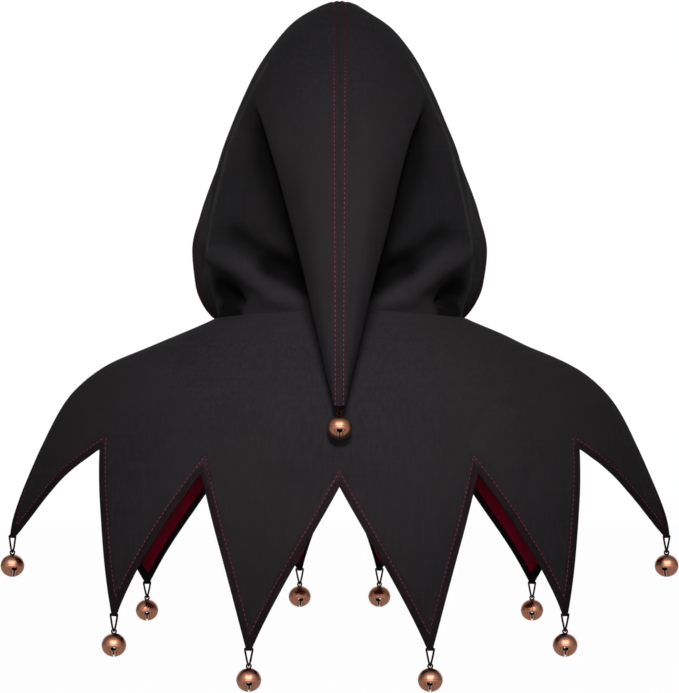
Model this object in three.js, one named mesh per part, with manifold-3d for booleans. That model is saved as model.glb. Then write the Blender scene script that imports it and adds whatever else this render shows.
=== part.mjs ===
// Jester hood: a black cloth hood with a long tail, sewn to a shoulder cape whose hem is cut into ten
// points. Hood and cape are lined in crimson, and a copper jingle bell hangs from each point and from the
// tail.
//
// Frame, in millimetres: +Z is up and the wearer faces -Y. The origin is the middle of the neck seam, where
// the hood sits round the wearer's neck. The hood is the same on both sides of the plane x = 0.

import * as THREE from 'three';
import { mergeVertices } from 'three/addons/utils/BufferGeometryUtils.js';
import Module from 'manifold-3d';

const wasm = await Module();
wasm.setup();

// Driving dimensions
const CLOTH = 1.6; // wall of the black cloth
const LINING = 1.0; // wall of the crimson lining
const LAYER_GAP = 0.8; // between the cloth and its lining
const SEAM_GAP = 0.3; // between two panels that are sewn together

const TIP_WIDTH = 5.4; // flat end of each point
const ROLL_LENGTH = 6; // rolled cloth round a link's top bar
const ROLL_RADIUS = 1.9;
const ROLL_BORE = 1.2;

const BELL_RADIUS = 11.1;
const BELL_HALF_HEIGHT = 10.5;
const BELL_WALL = 0.9;
const EYE_RADIUS = 2.0;
const EYE_WIRE = 0.55; // radius of the eye's wire
const EYE_SINK = 0.33; // that the eye is set into the shell
const SLOT_FOOT_WIDTH = 1.5;
const SLOT_TOP_WIDTH = 4.6;
const SLOT_TOP = 1.6; // below the bell's middle
const PELLET_RADIUS = 3.0;
const PELLET_LIFT = 0.8; // lowest point of the bell's hollow to the pellet

const LINK_WIRE = 0.5; // radius of the link's wire
const LINK_CROSSING = 3.4; // above its foot the two legs of a link cross
const LINK_BEND = 0.7; // rise of the wire on both sides of its foot
const LINK_BAR_SHARE = 0.88; // of the link's width that its straight bar takes
// drop: from the link's bar to the middle of its bell; shoulder: from the bar to the link's widest place
const POINT_LINK = { drop: 27.5, halfWidth: 4, shoulder: 1.2 };
const TAIL_LINK = { drop: 22.3, halfWidth: 2.4, shoulder: 0.8 };
const TAIL_BAR_RISE = 5; // the tail's link is held this far inside its tip

// How finely the cloth is divided
const RIM_TO_BACK_STEPS = 10;
const RING_ROWS = 7; // rows that run on into the tail
const RING_CLOSENESS = 1.25; // over 1, these rows lie closer together at the crown
const NAPE_ROWS = 7; // rows that end in the seam below the tail
const TAIL_STEPS = 8;
const CAPE_ROWS = [0, 0.24, 0.48, 0.72, 1];
const CAPE_STEP_DEGREES = 8;
const CAPE_STEP_REACH = 0.17;
const BELL_SIDES = 10;
const SHELL_STEPS = { outside: 5, inside: 3 }; // from the bell's foot to its top
const WIRE_SIDES = 5;
const ROLL_SIDES = 5;
const BORE_SIDES = 4;

// Tables

// A table gives each named column as a smooth curve over the first one. The curve passes through every row
// and never swings past its neighbours.
function table(names, rows) {
  const [first, ...columns] = names.split(' ');
  const at = rows.map((row) => row[0]);
  const curves = Object.fromEntries(
    columns.map((name, index) => [name, smoothCurve(at, rows.map((row) => row[index + 1]))]),
  );
  return { [first]: at, ...curves };
}

function smoothCurve(at, values) {
  const last = at.length - 1;
  const slopes = at.slice(1).map((end, i) => (values[i + 1] - values[i]) / (end - at[i]));
  const tangents = at.map((_, i) => {
    if (i === 0) return slopes[0];
    if (i === last) return slopes[last - 1];
    const [before, after] = [slopes[i - 1], slopes[i]];
    return before * after <= 0 ? 0 : (2 * before * after) / (before + after);
  });
  return (t) => {
    let i = 0;
    while (i < last - 1 && t > at[i + 1]) i += 1;
    const span = at[i + 1] - at[i];
    return hermite(values[i], tangents[i] * span, values[i + 1], tangents[i + 1] * span, (t - at[i]) / span);
  };
}

function hermite(start, startTangent, end, endTangent, t) {
  const t2 = t * t;
  const t3 = t2 * t;
  return (
    start * (2 * t3 - 3 * t2 + 1) +
    startTangent * (t3 - 2 * t2 + t) +
    end * (3 * t2 - 2 * t3) +
    endTangent * (t3 - t2)
  );
}

// Sections of the hood's half at +X, from the crown (at 0) down to the neck (at 1). Each runs from the rim of
// the face opening, past the side of the head, to the back. Down to TAIL_FOOT it ends on the tail's root, and
// below that in the seam at backY, backZ.
const TAIL_FOOT = 0.5;
const NAPE_START = 0.62; // from here the seam of the nape keeps pace with the sections
const HOOD = table('at rimX rimY rimZ sideX sideY sideZ backY backZ', [
  [0.0, 0, -103, 262, 0, 8, 290.5, 86, 257],
  [0.03, 13, -103, 260, 12.3, 5, 288.5, 88, 252],
  [0.06, 26, -103, 255, 25.8, 2, 282, 90, 247],
  [0.125, 52, -102, 238, 52.3, -6, 262, 94, 233],
  [0.25, 86, -99, 204, 86, -11, 211, 93, 210],
  [0.375, 108, -95, 168, 102, -13, 173, 89, 186],
  [0.5, 123, -89, 131, 113, -12, 140, 99, 165],
  [0.62, 135, -81, 95, 121, -10, 106, 110, 128],
  [0.74, 143.5, -73, 60, 125, -8, 70, 112, 88],
  [0.82, 140.5, -71, 26, 124, -6, 46, 106, 62],
  [0.875, 121, -73, -6, 122, -4, 30, 99, 42],
  [0.91, 76, -77, -15, 119, -3, 18, 88, 28],
  [0.94, 0, -76, -18, 116, -2, 9, 80, 17],
  [1.0, 0, -68, -40, 112, 0, -11, 69, -6],
]);
const RIM_CORNER = 0.875; // here the rim turns in under the chin
const FRONT_SEAM = 0.94; // below this the two rims are joined

// Sections of the tail from its root (at 0) to its tip (at 1): the seam on its outer side, the seam on its
// inner side, half its width, and how far its side folds lie forward of the middle and below it.
const TAIL = table('at outerY outerZ innerY innerZ halfWidth bow sag', [
  [0.0, 86, 257, 99, 165, 75, 26, 20],
  [0.2, 122, 207, 113, 134, 63, 18, 15],
  [0.4, 145, 142, 125, 95, 50.5, 12, 9],
  [0.6, 154, 70, 134, 42, 36, 8, 5],
  [0.8, 155, -6, 140, -20, 20, 4, 2],
  [1.0, 149, -84, 142.5, -86, 4.4, 0, 0],
]);

// Folds in the hood's back, as seen from behind: each follows a line through places in x and z, is as wide as
// given, and stands out by its height or is pressed in.
const HOOD_FOLDS = [
  { name: 'beside the tail', line: [[70, 166], [50, 106], [30, 36]], width: 17, height: -12 },
  { name: 'upper dent', line: [[98, 76], [75, 50], [53, 34], [28, 22]], width: 12, height: -9 },
  { name: 'roll', line: [[116, 50], [92, 36], [76, 24], [60, 13], [42, 5]], width: 10, height: 7 },
  { name: 'neck pocket', line: [[110, 16], [99, -4]], width: 12, height: -12 },
];
// Here the lining keeps clear of the tail's root.
const LINING_FOLDS = [{ name: 'root', line: [[90, 206], [76, 176]], width: 18, height: -6 }];

// Levels of the cape from the neck (at 0) to the tips (about 1): half its width, and its height at the sides,
// the back and the front, with the depth there.
const CAPE = table('at halfWidth sideZ backY backZ frontY frontZ', [
  [0.0, 116.5, -6, 75, 0, -74, -34],
  [0.2, 172, -29.8, 109, -50, -104, -72],
  [0.37, 220, -52, 127, -102, -123, -108],
  [0.5, 249.5, -75.5, 134.5, -142, -135, -137],
  [0.6, 267, -99, 138.5, -174, -141, -160],
  [0.75, 287, -141, 141.5, -221, -145, -195],
  [1.0, 309, -212, 145, -300, -150, -255],
  [1.12, 314, -246, 146, -338, -151, -284],
]);

// The hem on one side, from the middle of the back (0 degrees) to the middle of the front (180): how far down
// the cape each valley and each tip lies. A tip's edges bow in by some degrees, and it may be turned to the
// back. At a bend the edge of a point changes its slope.
const SHOULDER_SEAM = 95; // degrees
const HEM = [
  { kind: 'valley', angle: 0, reach: 0.545 },
  { kind: 'tip', name: 'back_inner', angle: 15, reach: 1.016, bow: 1, turn: 0 },
  { kind: 'valley', angle: 28.4, reach: 0.56 },
  { kind: 'tip', name: 'back_outer', angle: 40.6, reach: 1.03, bow: 1, turn: 0 },
  { kind: 'valley', angle: 53.7, reach: 0.6 },
  { kind: 'tip', name: 'side', angle: 82, reach: 0.982, bow: 0, turn: 45 },
  { kind: 'valley', angle: SHOULDER_SEAM, reach: 0.5 },
  { kind: 'bend', angle: 121, reach: 0.6 },
  { kind: 'tip', name: 'front_outer', angle: 142.6, reach: 1.1, bow: 0, turn: 0 },
  { kind: 'valley', angle: 155.4, reach: 0.585 },
  { kind: 'tip', name: 'front_inner', angle: 172.6, reach: 1.0, bow: 0.8, turn: 0 },
  { kind: 'valley', angle: 180, reach: 0.6 },
];
const CLAW_START = 0.6; // where a turned tip begins to turn

const SIDES = [
  { name: 'left', sign: 1 },
  { name: 'right', sign: -1 },
];

const cloth = new THREE.MeshStandardMaterial({ color: 0x262526, roughness: 0.9, metalness: 0 });
const crimson = new THREE.MeshStandardMaterial({ color: 0x640019, roughness: 0.6, metalness: 0 });
const copper = new THREE.MeshStandardMaterial({ color: 0x965f41, roughness: 0.35, metalness: 1 });
const darkCopper = new THREE.MeshStandardMaterial({ color: 0x4a2418, roughness: 0.5, metalness: 1 });
const steel = new THREE.MeshStandardMaterial({ color: 0x8d8d90, roughness: 0.4, metalness: 1 });

const hood = new THREE.Group();

function addMesh(name, geometry, material) {
  const mesh = new THREE.Mesh(geometry, material);
  mesh.name = name;
  hood.add(mesh);
  return mesh;
}

// Solids

function geometryOf(positions, indices) {
  const geometry = new THREE.BufferGeometry();
  geometry.setAttribute('position', new THREE.Float32BufferAttribute(positions, 3));
  geometry.setIndex(indices);
  geometry.computeVertexNormals();
  return geometry;
}

function solidOf(geometry) {
  const bare = geometry.clone();
  bare.deleteAttribute('normal');
  bare.deleteAttribute('uv');
  const merged = mergeVertices(bare, 1e-4);
  const vertProperties = new Float32Array(merged.attributes.position.array);
  const triVerts = new Uint32Array(merged.index.array);
  return new wasm.Manifold(new wasm.Mesh({ numProp: 3, vertProperties, triVerts }));
}

function geometryFrom(solid) {
  const mesh = solid.getMesh();
  return geometryOf(Array.from(mesh.vertProperties), Array.from(mesh.triVerts));
}

// Gives a sheet of four-sided faces a wall: the sheet is moved out and in along its normals, and strips close
// its free edges. shift moves the wall's middle along the normals. On a seam the normals stay in the seam's
// plane.
function wallOf(points, faces, thickness, shift = 0) {
  const normals = points.map(() => new THREE.Vector3());
  const edges = new Map();
  for (const face of faces) {
    const [a, b, c, d] = face.map((index) => points[index]);
    const normal = c.clone().sub(a).cross(d.clone().sub(b));
    face.forEach((index, k) => {
      normals[index].add(normal);
      const next = face[(k + 1) % 4];
      const twin = `${next} ${index}`;
      if (edges.has(twin)) edges.delete(twin);
      else edges.set(`${index} ${next}`, [index, next]);
    });
  }
  const moved = (distance) =>
    points.flatMap((point, index) => {
      const normal = normals[index].clone();
      if (Math.abs(point.x) <= SEAM_GAP) normal.x = 0;
      return point.clone().addScaledVector(normal.normalize(), distance).toArray();
    });
  const count = points.length;
  const indices = [];
  for (const [a, b, c, d] of faces) {
    indices.push(a, b, c, a, c, d);
    indices.push(count + a, count + c, count + b, count + a, count + d, count + c);
  }
  for (const [a, b] of edges.values()) {
    indices.push(b, a, count + a, b, count + a, count + b);
  }
  return geometryOf([...moved(shift + thickness / 2), ...moved(shift - thickness / 2)], indices);
}

// The mirror image in x = 0, with its faces turned to point outwards again.
function mirrored(geometry) {
  const positions = Array.from(geometry.attributes.position.array, (value, k) => (k % 3 ? value : -value));
  const indices = [];
  for (let k = 0; k < geometry.index.count; k += 3) {
    const [a, b, c] = [0, 1, 2].map((corner) => geometry.index.array[k + corner]);
    indices.push(a, c, b);
  }
  return geometryOf(positions, indices);
}

// Hood

function smoothStep(low, high, value) {
  const t = THREE.MathUtils.clamp((value - low) / (high - low), 0, 1);
  return t * t * (3 - 2 * t);
}

// A point on the tail's half at +X. turn goes from 0 on the outer seam, past the side fold, to PI on the
// inner seam.
function tailPoint(at, turn) {
  const outer = [TAIL.outerY(at), TAIL.outerZ(at)];
  const inner = [TAIL.innerY(at), TAIL.innerZ(at)];
  const [y, z] = outer.map((value, k) => (value + inner[k]) / 2 + ((value - inner[k]) / 2) * Math.cos(turn));
  const across = Math.sin(turn);
  const middle = across * across;
  return new THREE.Vector3(TAIL.halfWidth(at) * across, y - TAIL.bow(at) * middle, z - TAIL.sag(at) * middle);
}

// The turn round the tail for a share of the way from its outer to its inner seam. Past the side fold it slows to
// a stop, and the seam of the nape starts from a stop, so that no crease runs out from under the tail.
function roundTail(share) {
  const past = Math.max(2 * share - 1, 0);
  return Math.PI * (share + (past ** 2 - past ** 3) / 2);
}

function alongNape(at) {
  if (at <= TAIL_FOOT || at >= NAPE_START) return at;
  const t = (at - TAIL_FOOT) / (NAPE_START - TAIL_FOOT);
  return TAIL_FOOT + (NAPE_START - TAIL_FOOT) * (2 * t ** 2 - t ** 3);
}

// How far the folds push a point of the hood's back in or out. They fade out towards the sides and the neck.
const FOLDS_FADE = { y: [0, 32], z: [-12, -3] };
function foldHeight(point, folds) {
  const place = new THREE.Vector2(point.x, point.z);
  const behind = smoothStep(...FOLDS_FADE.y, point.y) * smoothStep(...FOLDS_FADE.z, point.z);
  let height = 0;
  for (const fold of folds) {
    const distances = fold.line.slice(1).map((end, k) => {
      const start = new THREE.Vector2(...fold.line[k]);
      const run = new THREE.Vector2(...end).sub(start);
      const t = THREE.MathUtils.clamp(place.clone().sub(start).dot(run) / run.lengthSq(), 0, 1);
      return place.distanceTo(start.addScaledVector(run, t));
    });
    height += fold.height * Math.exp(-((Math.min(...distances) / fold.width) ** 2));
  }
  return height * behind;
}

// The share of the folds that is left near the tail's root, where the cloth runs on into the tail and the lining
// passes behind it.
const ROOT_FADE = { across: [0.75, 1], acrossLining: [0.5, 0.75], at: [0.4, TAIL_FOOT] };
function besideRoot(at, across, withTail) {
  const near = smoothStep(...(withTail ? ROOT_FADE.across : ROOT_FADE.acrossLining), across);
  return 1 - near * (1 - smoothStep(...ROOT_FADE.at, at));
}

// A point of the hood's half at +X: across runs from the rim (0) past the side (0.5) to the back (1), in two
// curves that join smoothly at the side. A section below the tail's root ends square to the centre seam, as a
// quarter of an ellipse does, and one above it runs on along the tail.
const ROUND = 1.6; // tangent of a curve that is a quarter of an ellipse, over its radius
const FRONT_SLACK = 0.65; // share of that roundness in front of the side, where the rim stands open
const DOME_SLACK = 0.5; // share of the way from side to back that a section above the root is rounded by
const DOME_SLOPE = new THREE.Vector3(0, 40, -60); // the lining's way over the crown, down to the back
function hoodPoint(at, across, withTail) {
  const rim = new THREE.Vector3(HOOD.rimX(at), HOOD.rimY(at), HOOD.rimZ(at));
  const side = new THREE.Vector3(HOOD.sideX(at), HOOD.sideY(at), HOOD.sideZ(at));
  const intoTail = withTail && at <= TAIL_FOOT;
  const turn = roundTail(Math.min(at / TAIL_FOOT, 1));
  const seam = new THREE.Vector3(0, HOOD.backY(alongNape(at)), HOOD.backZ(alongNape(at)));
  const back = intoTail ? tailPoint(0, turn) : seam;

  const run = new THREE.Vector3(0, seam.y - rim.y, seam.z - rim.z).normalize();
  const joined = smoothStep(RIM_CORNER, FRONT_SEAM, at);
  const frontRound = THREE.MathUtils.lerp(FRONT_SLACK, 1, joined);
  const rimTangent = side.clone().sub(rim).lerp(new THREE.Vector3(ROUND * side.x, 0, 0), joined);
  const frontTangent = run.clone().multiplyScalar(ROUND * (side.y - rim.y) * frontRound);
  const backTangent = run.clone().multiplyScalar(ROUND * (back.y - side.y));
  const seamTangent = new THREE.Vector3(-ROUND * (side.x - back.x), 0, 0);
  if (at < TAIL_FOOT) {
    const onward = withTail ? tailPoint(TAIL.at[1], turn).sub(back) : DOME_SLOPE.clone();
    const below = withTail ? smoothStep(0.5, 1, at / TAIL_FOOT) : smoothStep(0.2, 0.6, at / TAIL_FOOT);
    seamTangent.lerp(onward.setLength(DOME_SLACK * side.distanceTo(back)), 1 - below);
  }
  const [start, startTangent, end, endTangent, t] =
    across < 0.5
      ? [rim, rimTangent, side, frontTangent, across * 2]
      : [side, backTangent, back, seamTangent, across * 2 - 1];
  const point = new THREE.Vector3();
  for (const axis of ['x', 'y', 'z']) {
    point[axis] = hermite(start[axis], startTangent[axis], end[axis], endTangent[axis], t);
  }
  return point;
}

// A panel of the hood's half at +X. Its rows run from the rim to the back, and the upper ones on into the
// tail.
function hoodPanel(thickness, shift, withTail) {
  const rows = RING_ROWS + NAPE_ROWS;
  const points = [];
  const indexAt = new Map();
  for (let row = 0; row <= rows; row += 1) {
    const below = (row - RING_ROWS) / NAPE_ROWS;
    const ring = (row / RING_ROWS) ** RING_CLOSENESS;
    const at = row <= RING_ROWS ? TAIL_FOOT * ring : TAIL_FOOT + (1 - TAIL_FOOT) * below;
    const columns = RIM_TO_BACK_STEPS + (withTail && row <= RING_ROWS ? TAIL_STEPS : 0);
    for (let column = 0; column <= columns; column += 1) {
      const alongTail = (column - RIM_TO_BACK_STEPS) / TAIL_STEPS;
      const point =
        alongTail > 0
          ? tailPoint(alongTail, roundTail(ring))
          : hoodPoint(at, column / RIM_TO_BACK_STEPS, withTail);
      if (alongTail <= 0) {
        const outward = new THREE.Vector3(point.x, point.y, 0).normalize();
        let height = foldHeight(point, HOOD_FOLDS) * besideRoot(at, column / RIM_TO_BACK_STEPS, withTail);
        if (!withTail) height += foldHeight(point, LINING_FOLDS);
        point.addScaledVector(outward, height);
      }
      point.x = Math.max(point.x, SEAM_GAP / 2);
      indexAt.set(`${row} ${column}`, points.length);
      points.push(point);
    }
  }
  const faces = [];
  for (let row = 0; row < rows; row += 1) {
    for (let column = 0; column < RIM_TO_BACK_STEPS + TAIL_STEPS; column += 1) {
      const cell = [[row, column], [row + 1, column], [row + 1, column + 1], [row, column + 1]];
      const corners = cell.map(([r, c]) => indexAt.get(`${r} ${c}`));
      if (corners.every((index) => index !== undefined)) faces.push(corners);
    }
  }
  return wallOf(points, faces, thickness, shift);
}

const panel = hoodPanel(CLOTH, 0, true);
const panelLining = hoodPanel(LINING, -(CLOTH / 2 + LAYER_GAP + LINING / 2), false);
for (const { name, sign } of SIDES) {
  addMesh(`hood_${name}`, sign > 0 ? panel : mirrored(panel), cloth);
  addMesh(`hood_lining_${name}`, sign > 0 ? panelLining : mirrored(panelLining), crimson);
}

// Cape

// A point of the cape: angle in degrees round from the middle of the back towards +X, and how far down.
function capePoint(angle, down) {
  const radians = THREE.MathUtils.degToRad(angle);
  const [sine, cosine] = [Math.sin(radians), Math.cos(radians)];
  const back = cosine > 0;
  const depth = back ? CAPE.backY(down) : -CAPE.frontY(down);
  const middleZ = back ? CAPE.backZ(down) : CAPE.frontZ(down);
  const z = THREE.MathUtils.lerp(CAPE.sideZ(down), middleZ, cosine * cosine);
  return new THREE.Vector3(CAPE.halfWidth(down) * sine, depth * cosine, z);
}

// The hem of one panel as a row of stops, from one end to the other. A tip is two stops, one at each end of
// its flat.
function hemStops(firstAngle, lastAngle) {
  const both = [...HEM.map((stop) => ({ ...stop, sign: 1 })), ...HEM.map((stop) => ({ ...stop, sign: -1 }))];
  const stops = [];
  for (const stop of both) {
    const angle = stop.sign > 0 ? stop.angle : firstAngle < 0 ? -stop.angle : 360 - stop.angle;
    if (angle < firstAngle - 1e-6 || angle > lastAngle + 1e-6) continue;
    if (stops.some((other) => Math.abs(other.angle - angle) < 1e-6)) continue;
    stops.push({ ...stop, angle });
  }
  stops.sort((one, other) => one.angle - other.angle);
  return stops.flatMap((stop) => {
    if (stop.kind !== 'tip') return [stop];
    const [before, after] = [-0.5, 0.5].map((offset) => capePoint(stop.angle + offset, stop.reach));
    const half = TIP_WIDTH / 2 / before.distanceTo(after); // degrees
    return [{ ...stop, angle: stop.angle - half }, { ...stop, angle: stop.angle + half }];
  });
}

// The columns of a panel: the stops, with the stretches between them divided evenly.
function hemColumns(stops) {
  const columns = [stops[0]];
  for (let k = 1; k < stops.length; k += 1) {
    const [from, to] = [stops[k - 1], stops[k]];
    const flat = from.kind === 'tip' && to.kind === 'tip';
    const turned = (to.angle - from.angle) / CAPE_STEP_DEGREES;
    const lowered = Math.abs(to.reach - from.reach) / CAPE_STEP_REACH;
    const steps = flat ? 1 : Math.ceil(Math.max(turned, lowered));
    const tip = from.kind === 'tip' ? from : to;
    const bow = flat || tip.kind !== 'tip' ? 0 : tip.bow * (tip === to ? 1 : -1);
    for (let step = 1; step <= steps; step += 1) {
      const part = step / steps;
      const angle = THREE.MathUtils.lerp(from.angle, to.angle, part) + bow * 4 * part * (1 - part);
      const reach = THREE.MathUtils.lerp(from.reach, to.reach, part);
      columns.push({ angle, reach, tip });
    }
  }
  columns[0] = { ...stops[0], tip: stops[1] };
  return columns;
}

// A point of the panel, with a claw turned about its own middle line as it nears its tip.
function panelPoint(column, part) {
  const down = column.reach * part;
  const point = capePoint(column.angle, down);
  const { tip } = column;
  if (!tip.turn) return point;
  const middleAngle = Math.sign(tip.angle) * HEM.find((stop) => stop.name === tip.name).angle;
  const middle = capePoint(middleAngle, down);
  const near = THREE.MathUtils.clamp((down - CLAW_START) / (tip.reach - CLAW_START), 0, 1);
  const turn = THREE.MathUtils.degToRad(tip.turn) * near ** 3 * Math.sign(tip.angle);
  return point.sub(middle).applyAxisAngle(new THREE.Vector3(0, 0, 1), turn).add(middle);
}

// Moves the first of a row of points towards the second.
function trimStart([first, second], trim) {
  first.lerp(second, trim / first.distanceTo(second));
}

// One panel between two seams, trimmed by the given lengths at its top, its hem and its ends.
function capePanel(columns, thickness, shift, trim) {
  const last = CAPE_ROWS.length - 1;
  const lines = columns.map((column) => CAPE_ROWS.map((part) => panelPoint(column, part)));
  if (trim) {
    for (const line of lines) {
      trimStart(line, trim.top);
      trimStart(line.toReversed(), trim.hem);
    }
    for (let row = 0; row <= last; row += 1) {
      const across = lines.map((line) => line[row]);
      trimStart(across, trim.ends);
      trimStart(across.toReversed(), trim.ends);
    }
  }
  const points = lines.flat();
  const middle = (columns[0].angle + columns[columns.length - 1].angle) / 2 - 0.01;
  const faces = [];
  for (let column = 0; column < columns.length - 1; column += 1) {
    for (let row = 0; row < last; row += 1) {
      const [near, far] = [column, column + 1].map((index) => index * CAPE_ROWS.length + row);
      const face = [near, far, far + 1, near + 1];
      faces.push(columns[column].angle < middle ? face : [...face.slice(1), face[0]]);
    }
  }
  return wallOf(points, faces, thickness, shift);
}

// The two ends of each tip's flat give the place of the link's bar and its direction, which is level.
function tipsOf(stops) {
  const ends = stops.filter((stop) => stop.kind === 'tip');
  const tips = [];
  for (let k = 0; k < ends.length; k += 2) {
    const [from, to] = [ends[k], ends[k + 1]].map((end) => panelPoint({ ...end, tip: end }, 1));
    const across = to.clone().sub(from).setZ(0).normalize();
    const middle = from.add(to).multiplyScalar(0.5);
    tips.push({ name: `${ends[k].name}_${middle.x > 0 ? 'left' : 'right'}`, middle, across });
  }
  return tips;
}

// A round bar along a direction, centred on a place.
function bar(radius, length, sides, place, direction) {
  const geometry = new THREE.CylinderGeometry(radius, radius, length, sides);
  const turn = new THREE.Quaternion().setFromUnitVectors(new THREE.Vector3(0, 1, 0), direction);
  geometry.applyMatrix4(new THREE.Matrix4().compose(place, turn, new THREE.Vector3(1, 1, 1)));
  return solidOf(geometry);
}

const SEAM_ANGLE = 0.1; // degrees that each panel stays short of the shoulder seam
const LINING_TRIM = { top: 9, hem: 2.6, ends: 1 }; // that a lining stays short of its panel's edges
const tips = [];
const panels = [
  { name: 'back', first: -SHOULDER_SEAM, last: SHOULDER_SEAM },
  { name: 'front', first: SHOULDER_SEAM, last: 360 - SHOULDER_SEAM },
];
for (const { name, first, last } of panels) {
  const stops = hemStops(first, last);
  stops[0].angle += SEAM_ANGLE;
  stops[stops.length - 1].angle -= SEAM_ANGLE;
  const columns = hemColumns(stops);
  let solid = solidOf(capePanel(columns, CLOTH, 0));
  for (const tip of tipsOf(stops)) {
    solid = solid.add(bar(ROLL_RADIUS, ROLL_LENGTH, ROLL_SIDES, tip.middle, tip.across));
    solid = solid.subtract(bar(ROLL_BORE, ROLL_LENGTH * 2, BORE_SIDES, tip.middle, tip.across));
    tips.push(tip);
  }
  addMesh(`cape_${name}`, geometryFrom(solid), cloth);
  const inside = -(CLOTH / 2 + LAYER_GAP + LINING / 2);
  addMesh(`cape_lining_${name}`, capePanel(columns, LINING, inside, LINING_TRIM), crimson);
}

// Bells

const EYE_Z = BELL_HALF_HEIGHT + EYE_RADIUS - EYE_SINK;
const LINK_FOOT = EYE_Z + EYE_RADIUS - EYE_WIRE - LINK_WIRE - SEAM_GAP; // above the bell's middle
const PELLET_DROP = BELL_HALF_HEIGHT - BELL_WALL - PELLET_RADIUS - PELLET_LIFT;

// The bell's shell: a slightly flattened hollow ball.
function bellShell() {
  const arc = (radius, height, from, to, steps) =>
    Array.from({ length: steps + 1 }, (_, k) => {
      const angle = THREE.MathUtils.degToRad(THREE.MathUtils.lerp(from, to, k / steps));
      return new THREE.Vector2(Math.max(radius * Math.cos(angle), 0), height * Math.sin(angle));
    });
  const outside = arc(BELL_RADIUS, BELL_HALF_HEIGHT, -90, 90, SHELL_STEPS.outside);
  const inside = arc(BELL_RADIUS - BELL_WALL, BELL_HALF_HEIGHT - BELL_WALL, 90, -90, SHELL_STEPS.inside);
  const shell = solidOf(new THREE.LatheGeometry(outside, BELL_SIDES).rotateX(Math.PI / 2));
  const hollow = solidOf(new THREE.LatheGeometry(inside.reverse(), BELL_SIDES).rotateX(Math.PI / 2));
  return shell.subtract(hollow);
}

// The slot, cut from front to back through the lower half: a slit at the foot that widens upwards.
function slotCutter() {
  const [foot, top] = [SLOT_FOOT_WIDTH / 2, SLOT_TOP_WIDTH / 2];
  const outline = new THREE.Shape([
    new THREE.Vector2(-foot, -BELL_RADIUS),
    new THREE.Vector2(foot, -BELL_RADIUS),
    new THREE.Vector2(top, -SLOT_TOP),
    new THREE.Vector2(-top, -SLOT_TOP),
  ]);
  const depth = BELL_RADIUS * 3;
  const geometry = new THREE.ExtrudeGeometry(outline, { depth, bevelEnabled: false, steps: 1 });
  return solidOf(geometry.translate(0, 0, -depth / 2).rotateX(Math.PI / 2));
}

function bellGeometry() {
  const eye = new THREE.TorusGeometry(EYE_RADIUS, EYE_WIRE, WIRE_SIDES, BELL_SIDES).rotateX(Math.PI / 2);
  return geometryFrom(bellShell().add(solidOf(eye.translate(0, 0, EYE_Z))).subtract(slotCutter()));
}

// A closed path with one step from each of its corners to the next.
class WirePath extends THREE.CatmullRomCurve3 {
  constructor(corners) {
    super(corners, true);
  }

  getPointAt(step, target) {
    return this.getPoint(step, target);
  }

  getTangentAt(step, target) {
    return this.getTangent(step, target);
  }
}

// A link: a closed loop of wire whose straight bar lies in the cloth and whose foot passes through the bell's
// eye from front to back.
function linkGeometry(top, across, foot, { halfWidth, shoulder }) {
  const at = (sideways, rise, depth, from) =>
    from.clone().addScaledVector(across, sideways).add(new THREE.Vector3(0, depth, rise));
  const straddle = EYE_WIRE + LINK_WIRE + SEAM_GAP;
  const barEnd = halfWidth * LINK_BAR_SHARE;
  const corners = [
    at(barEnd, 0, 0, top),
    at(halfWidth, -shoulder, 0, top),
    at(LINK_BEND / 2, LINK_CROSSING, straddle, foot),
    at(0, LINK_BEND, straddle, foot),
    at(0, 0, 0, foot),
    at(0, LINK_BEND, -straddle, foot),
    at(-LINK_BEND / 2, LINK_CROSSING, -straddle, foot),
    at(-halfWidth, -shoulder, 0, top),
    at(-barEnd, 0, 0, top),
    at(0, 0, 0, top),
  ];
  return new THREE.TubeGeometry(new WirePath(corners), corners.length, LINK_WIRE, WIRE_SIDES, true);
}

const bellShape = bellGeometry();
const pelletShape = new THREE.SphereGeometry(PELLET_RADIUS, 10, 3).rotateX(Math.PI / 2);

function hangBell(name, top, across, link) {
  const middle = top.clone().add(new THREE.Vector3(0, 0, -link.drop));
  addMesh(`bell_${name}`, bellShape, copper).position.copy(middle);
  addMesh(`pellet_${name}`, pelletShape, steel).position.set(middle.x, middle.y, middle.z - PELLET_DROP);
  const foot = middle.clone().add(new THREE.Vector3(0, 0, LINK_FOOT));
  addMesh(`link_${name}`, linkGeometry(top, across, foot, link), darkCopper);
}

for (const tip of tips) hangBell(tip.name, tip.middle, tip.across, POINT_LINK);

const tailEnd = new THREE.Vector3(0, (TAIL.outerY(1) + TAIL.innerY(1)) / 2, TAIL.innerZ(1) + TAIL_BAR_RISE);
hangBell('tail', tailEnd, new THREE.Vector3(1, 0, 0), TAIL_LINK);

export default hood;
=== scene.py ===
"""A black cloth jester hood with a long tail, a pointed shoulder cape, a crimson lining and copper bells.

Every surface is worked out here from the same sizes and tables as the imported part, in millimetres, and put
into its mesh in metres. +Z is up, the wearer faces -Y, and the origin is the middle of the neck seam.
"""

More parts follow.
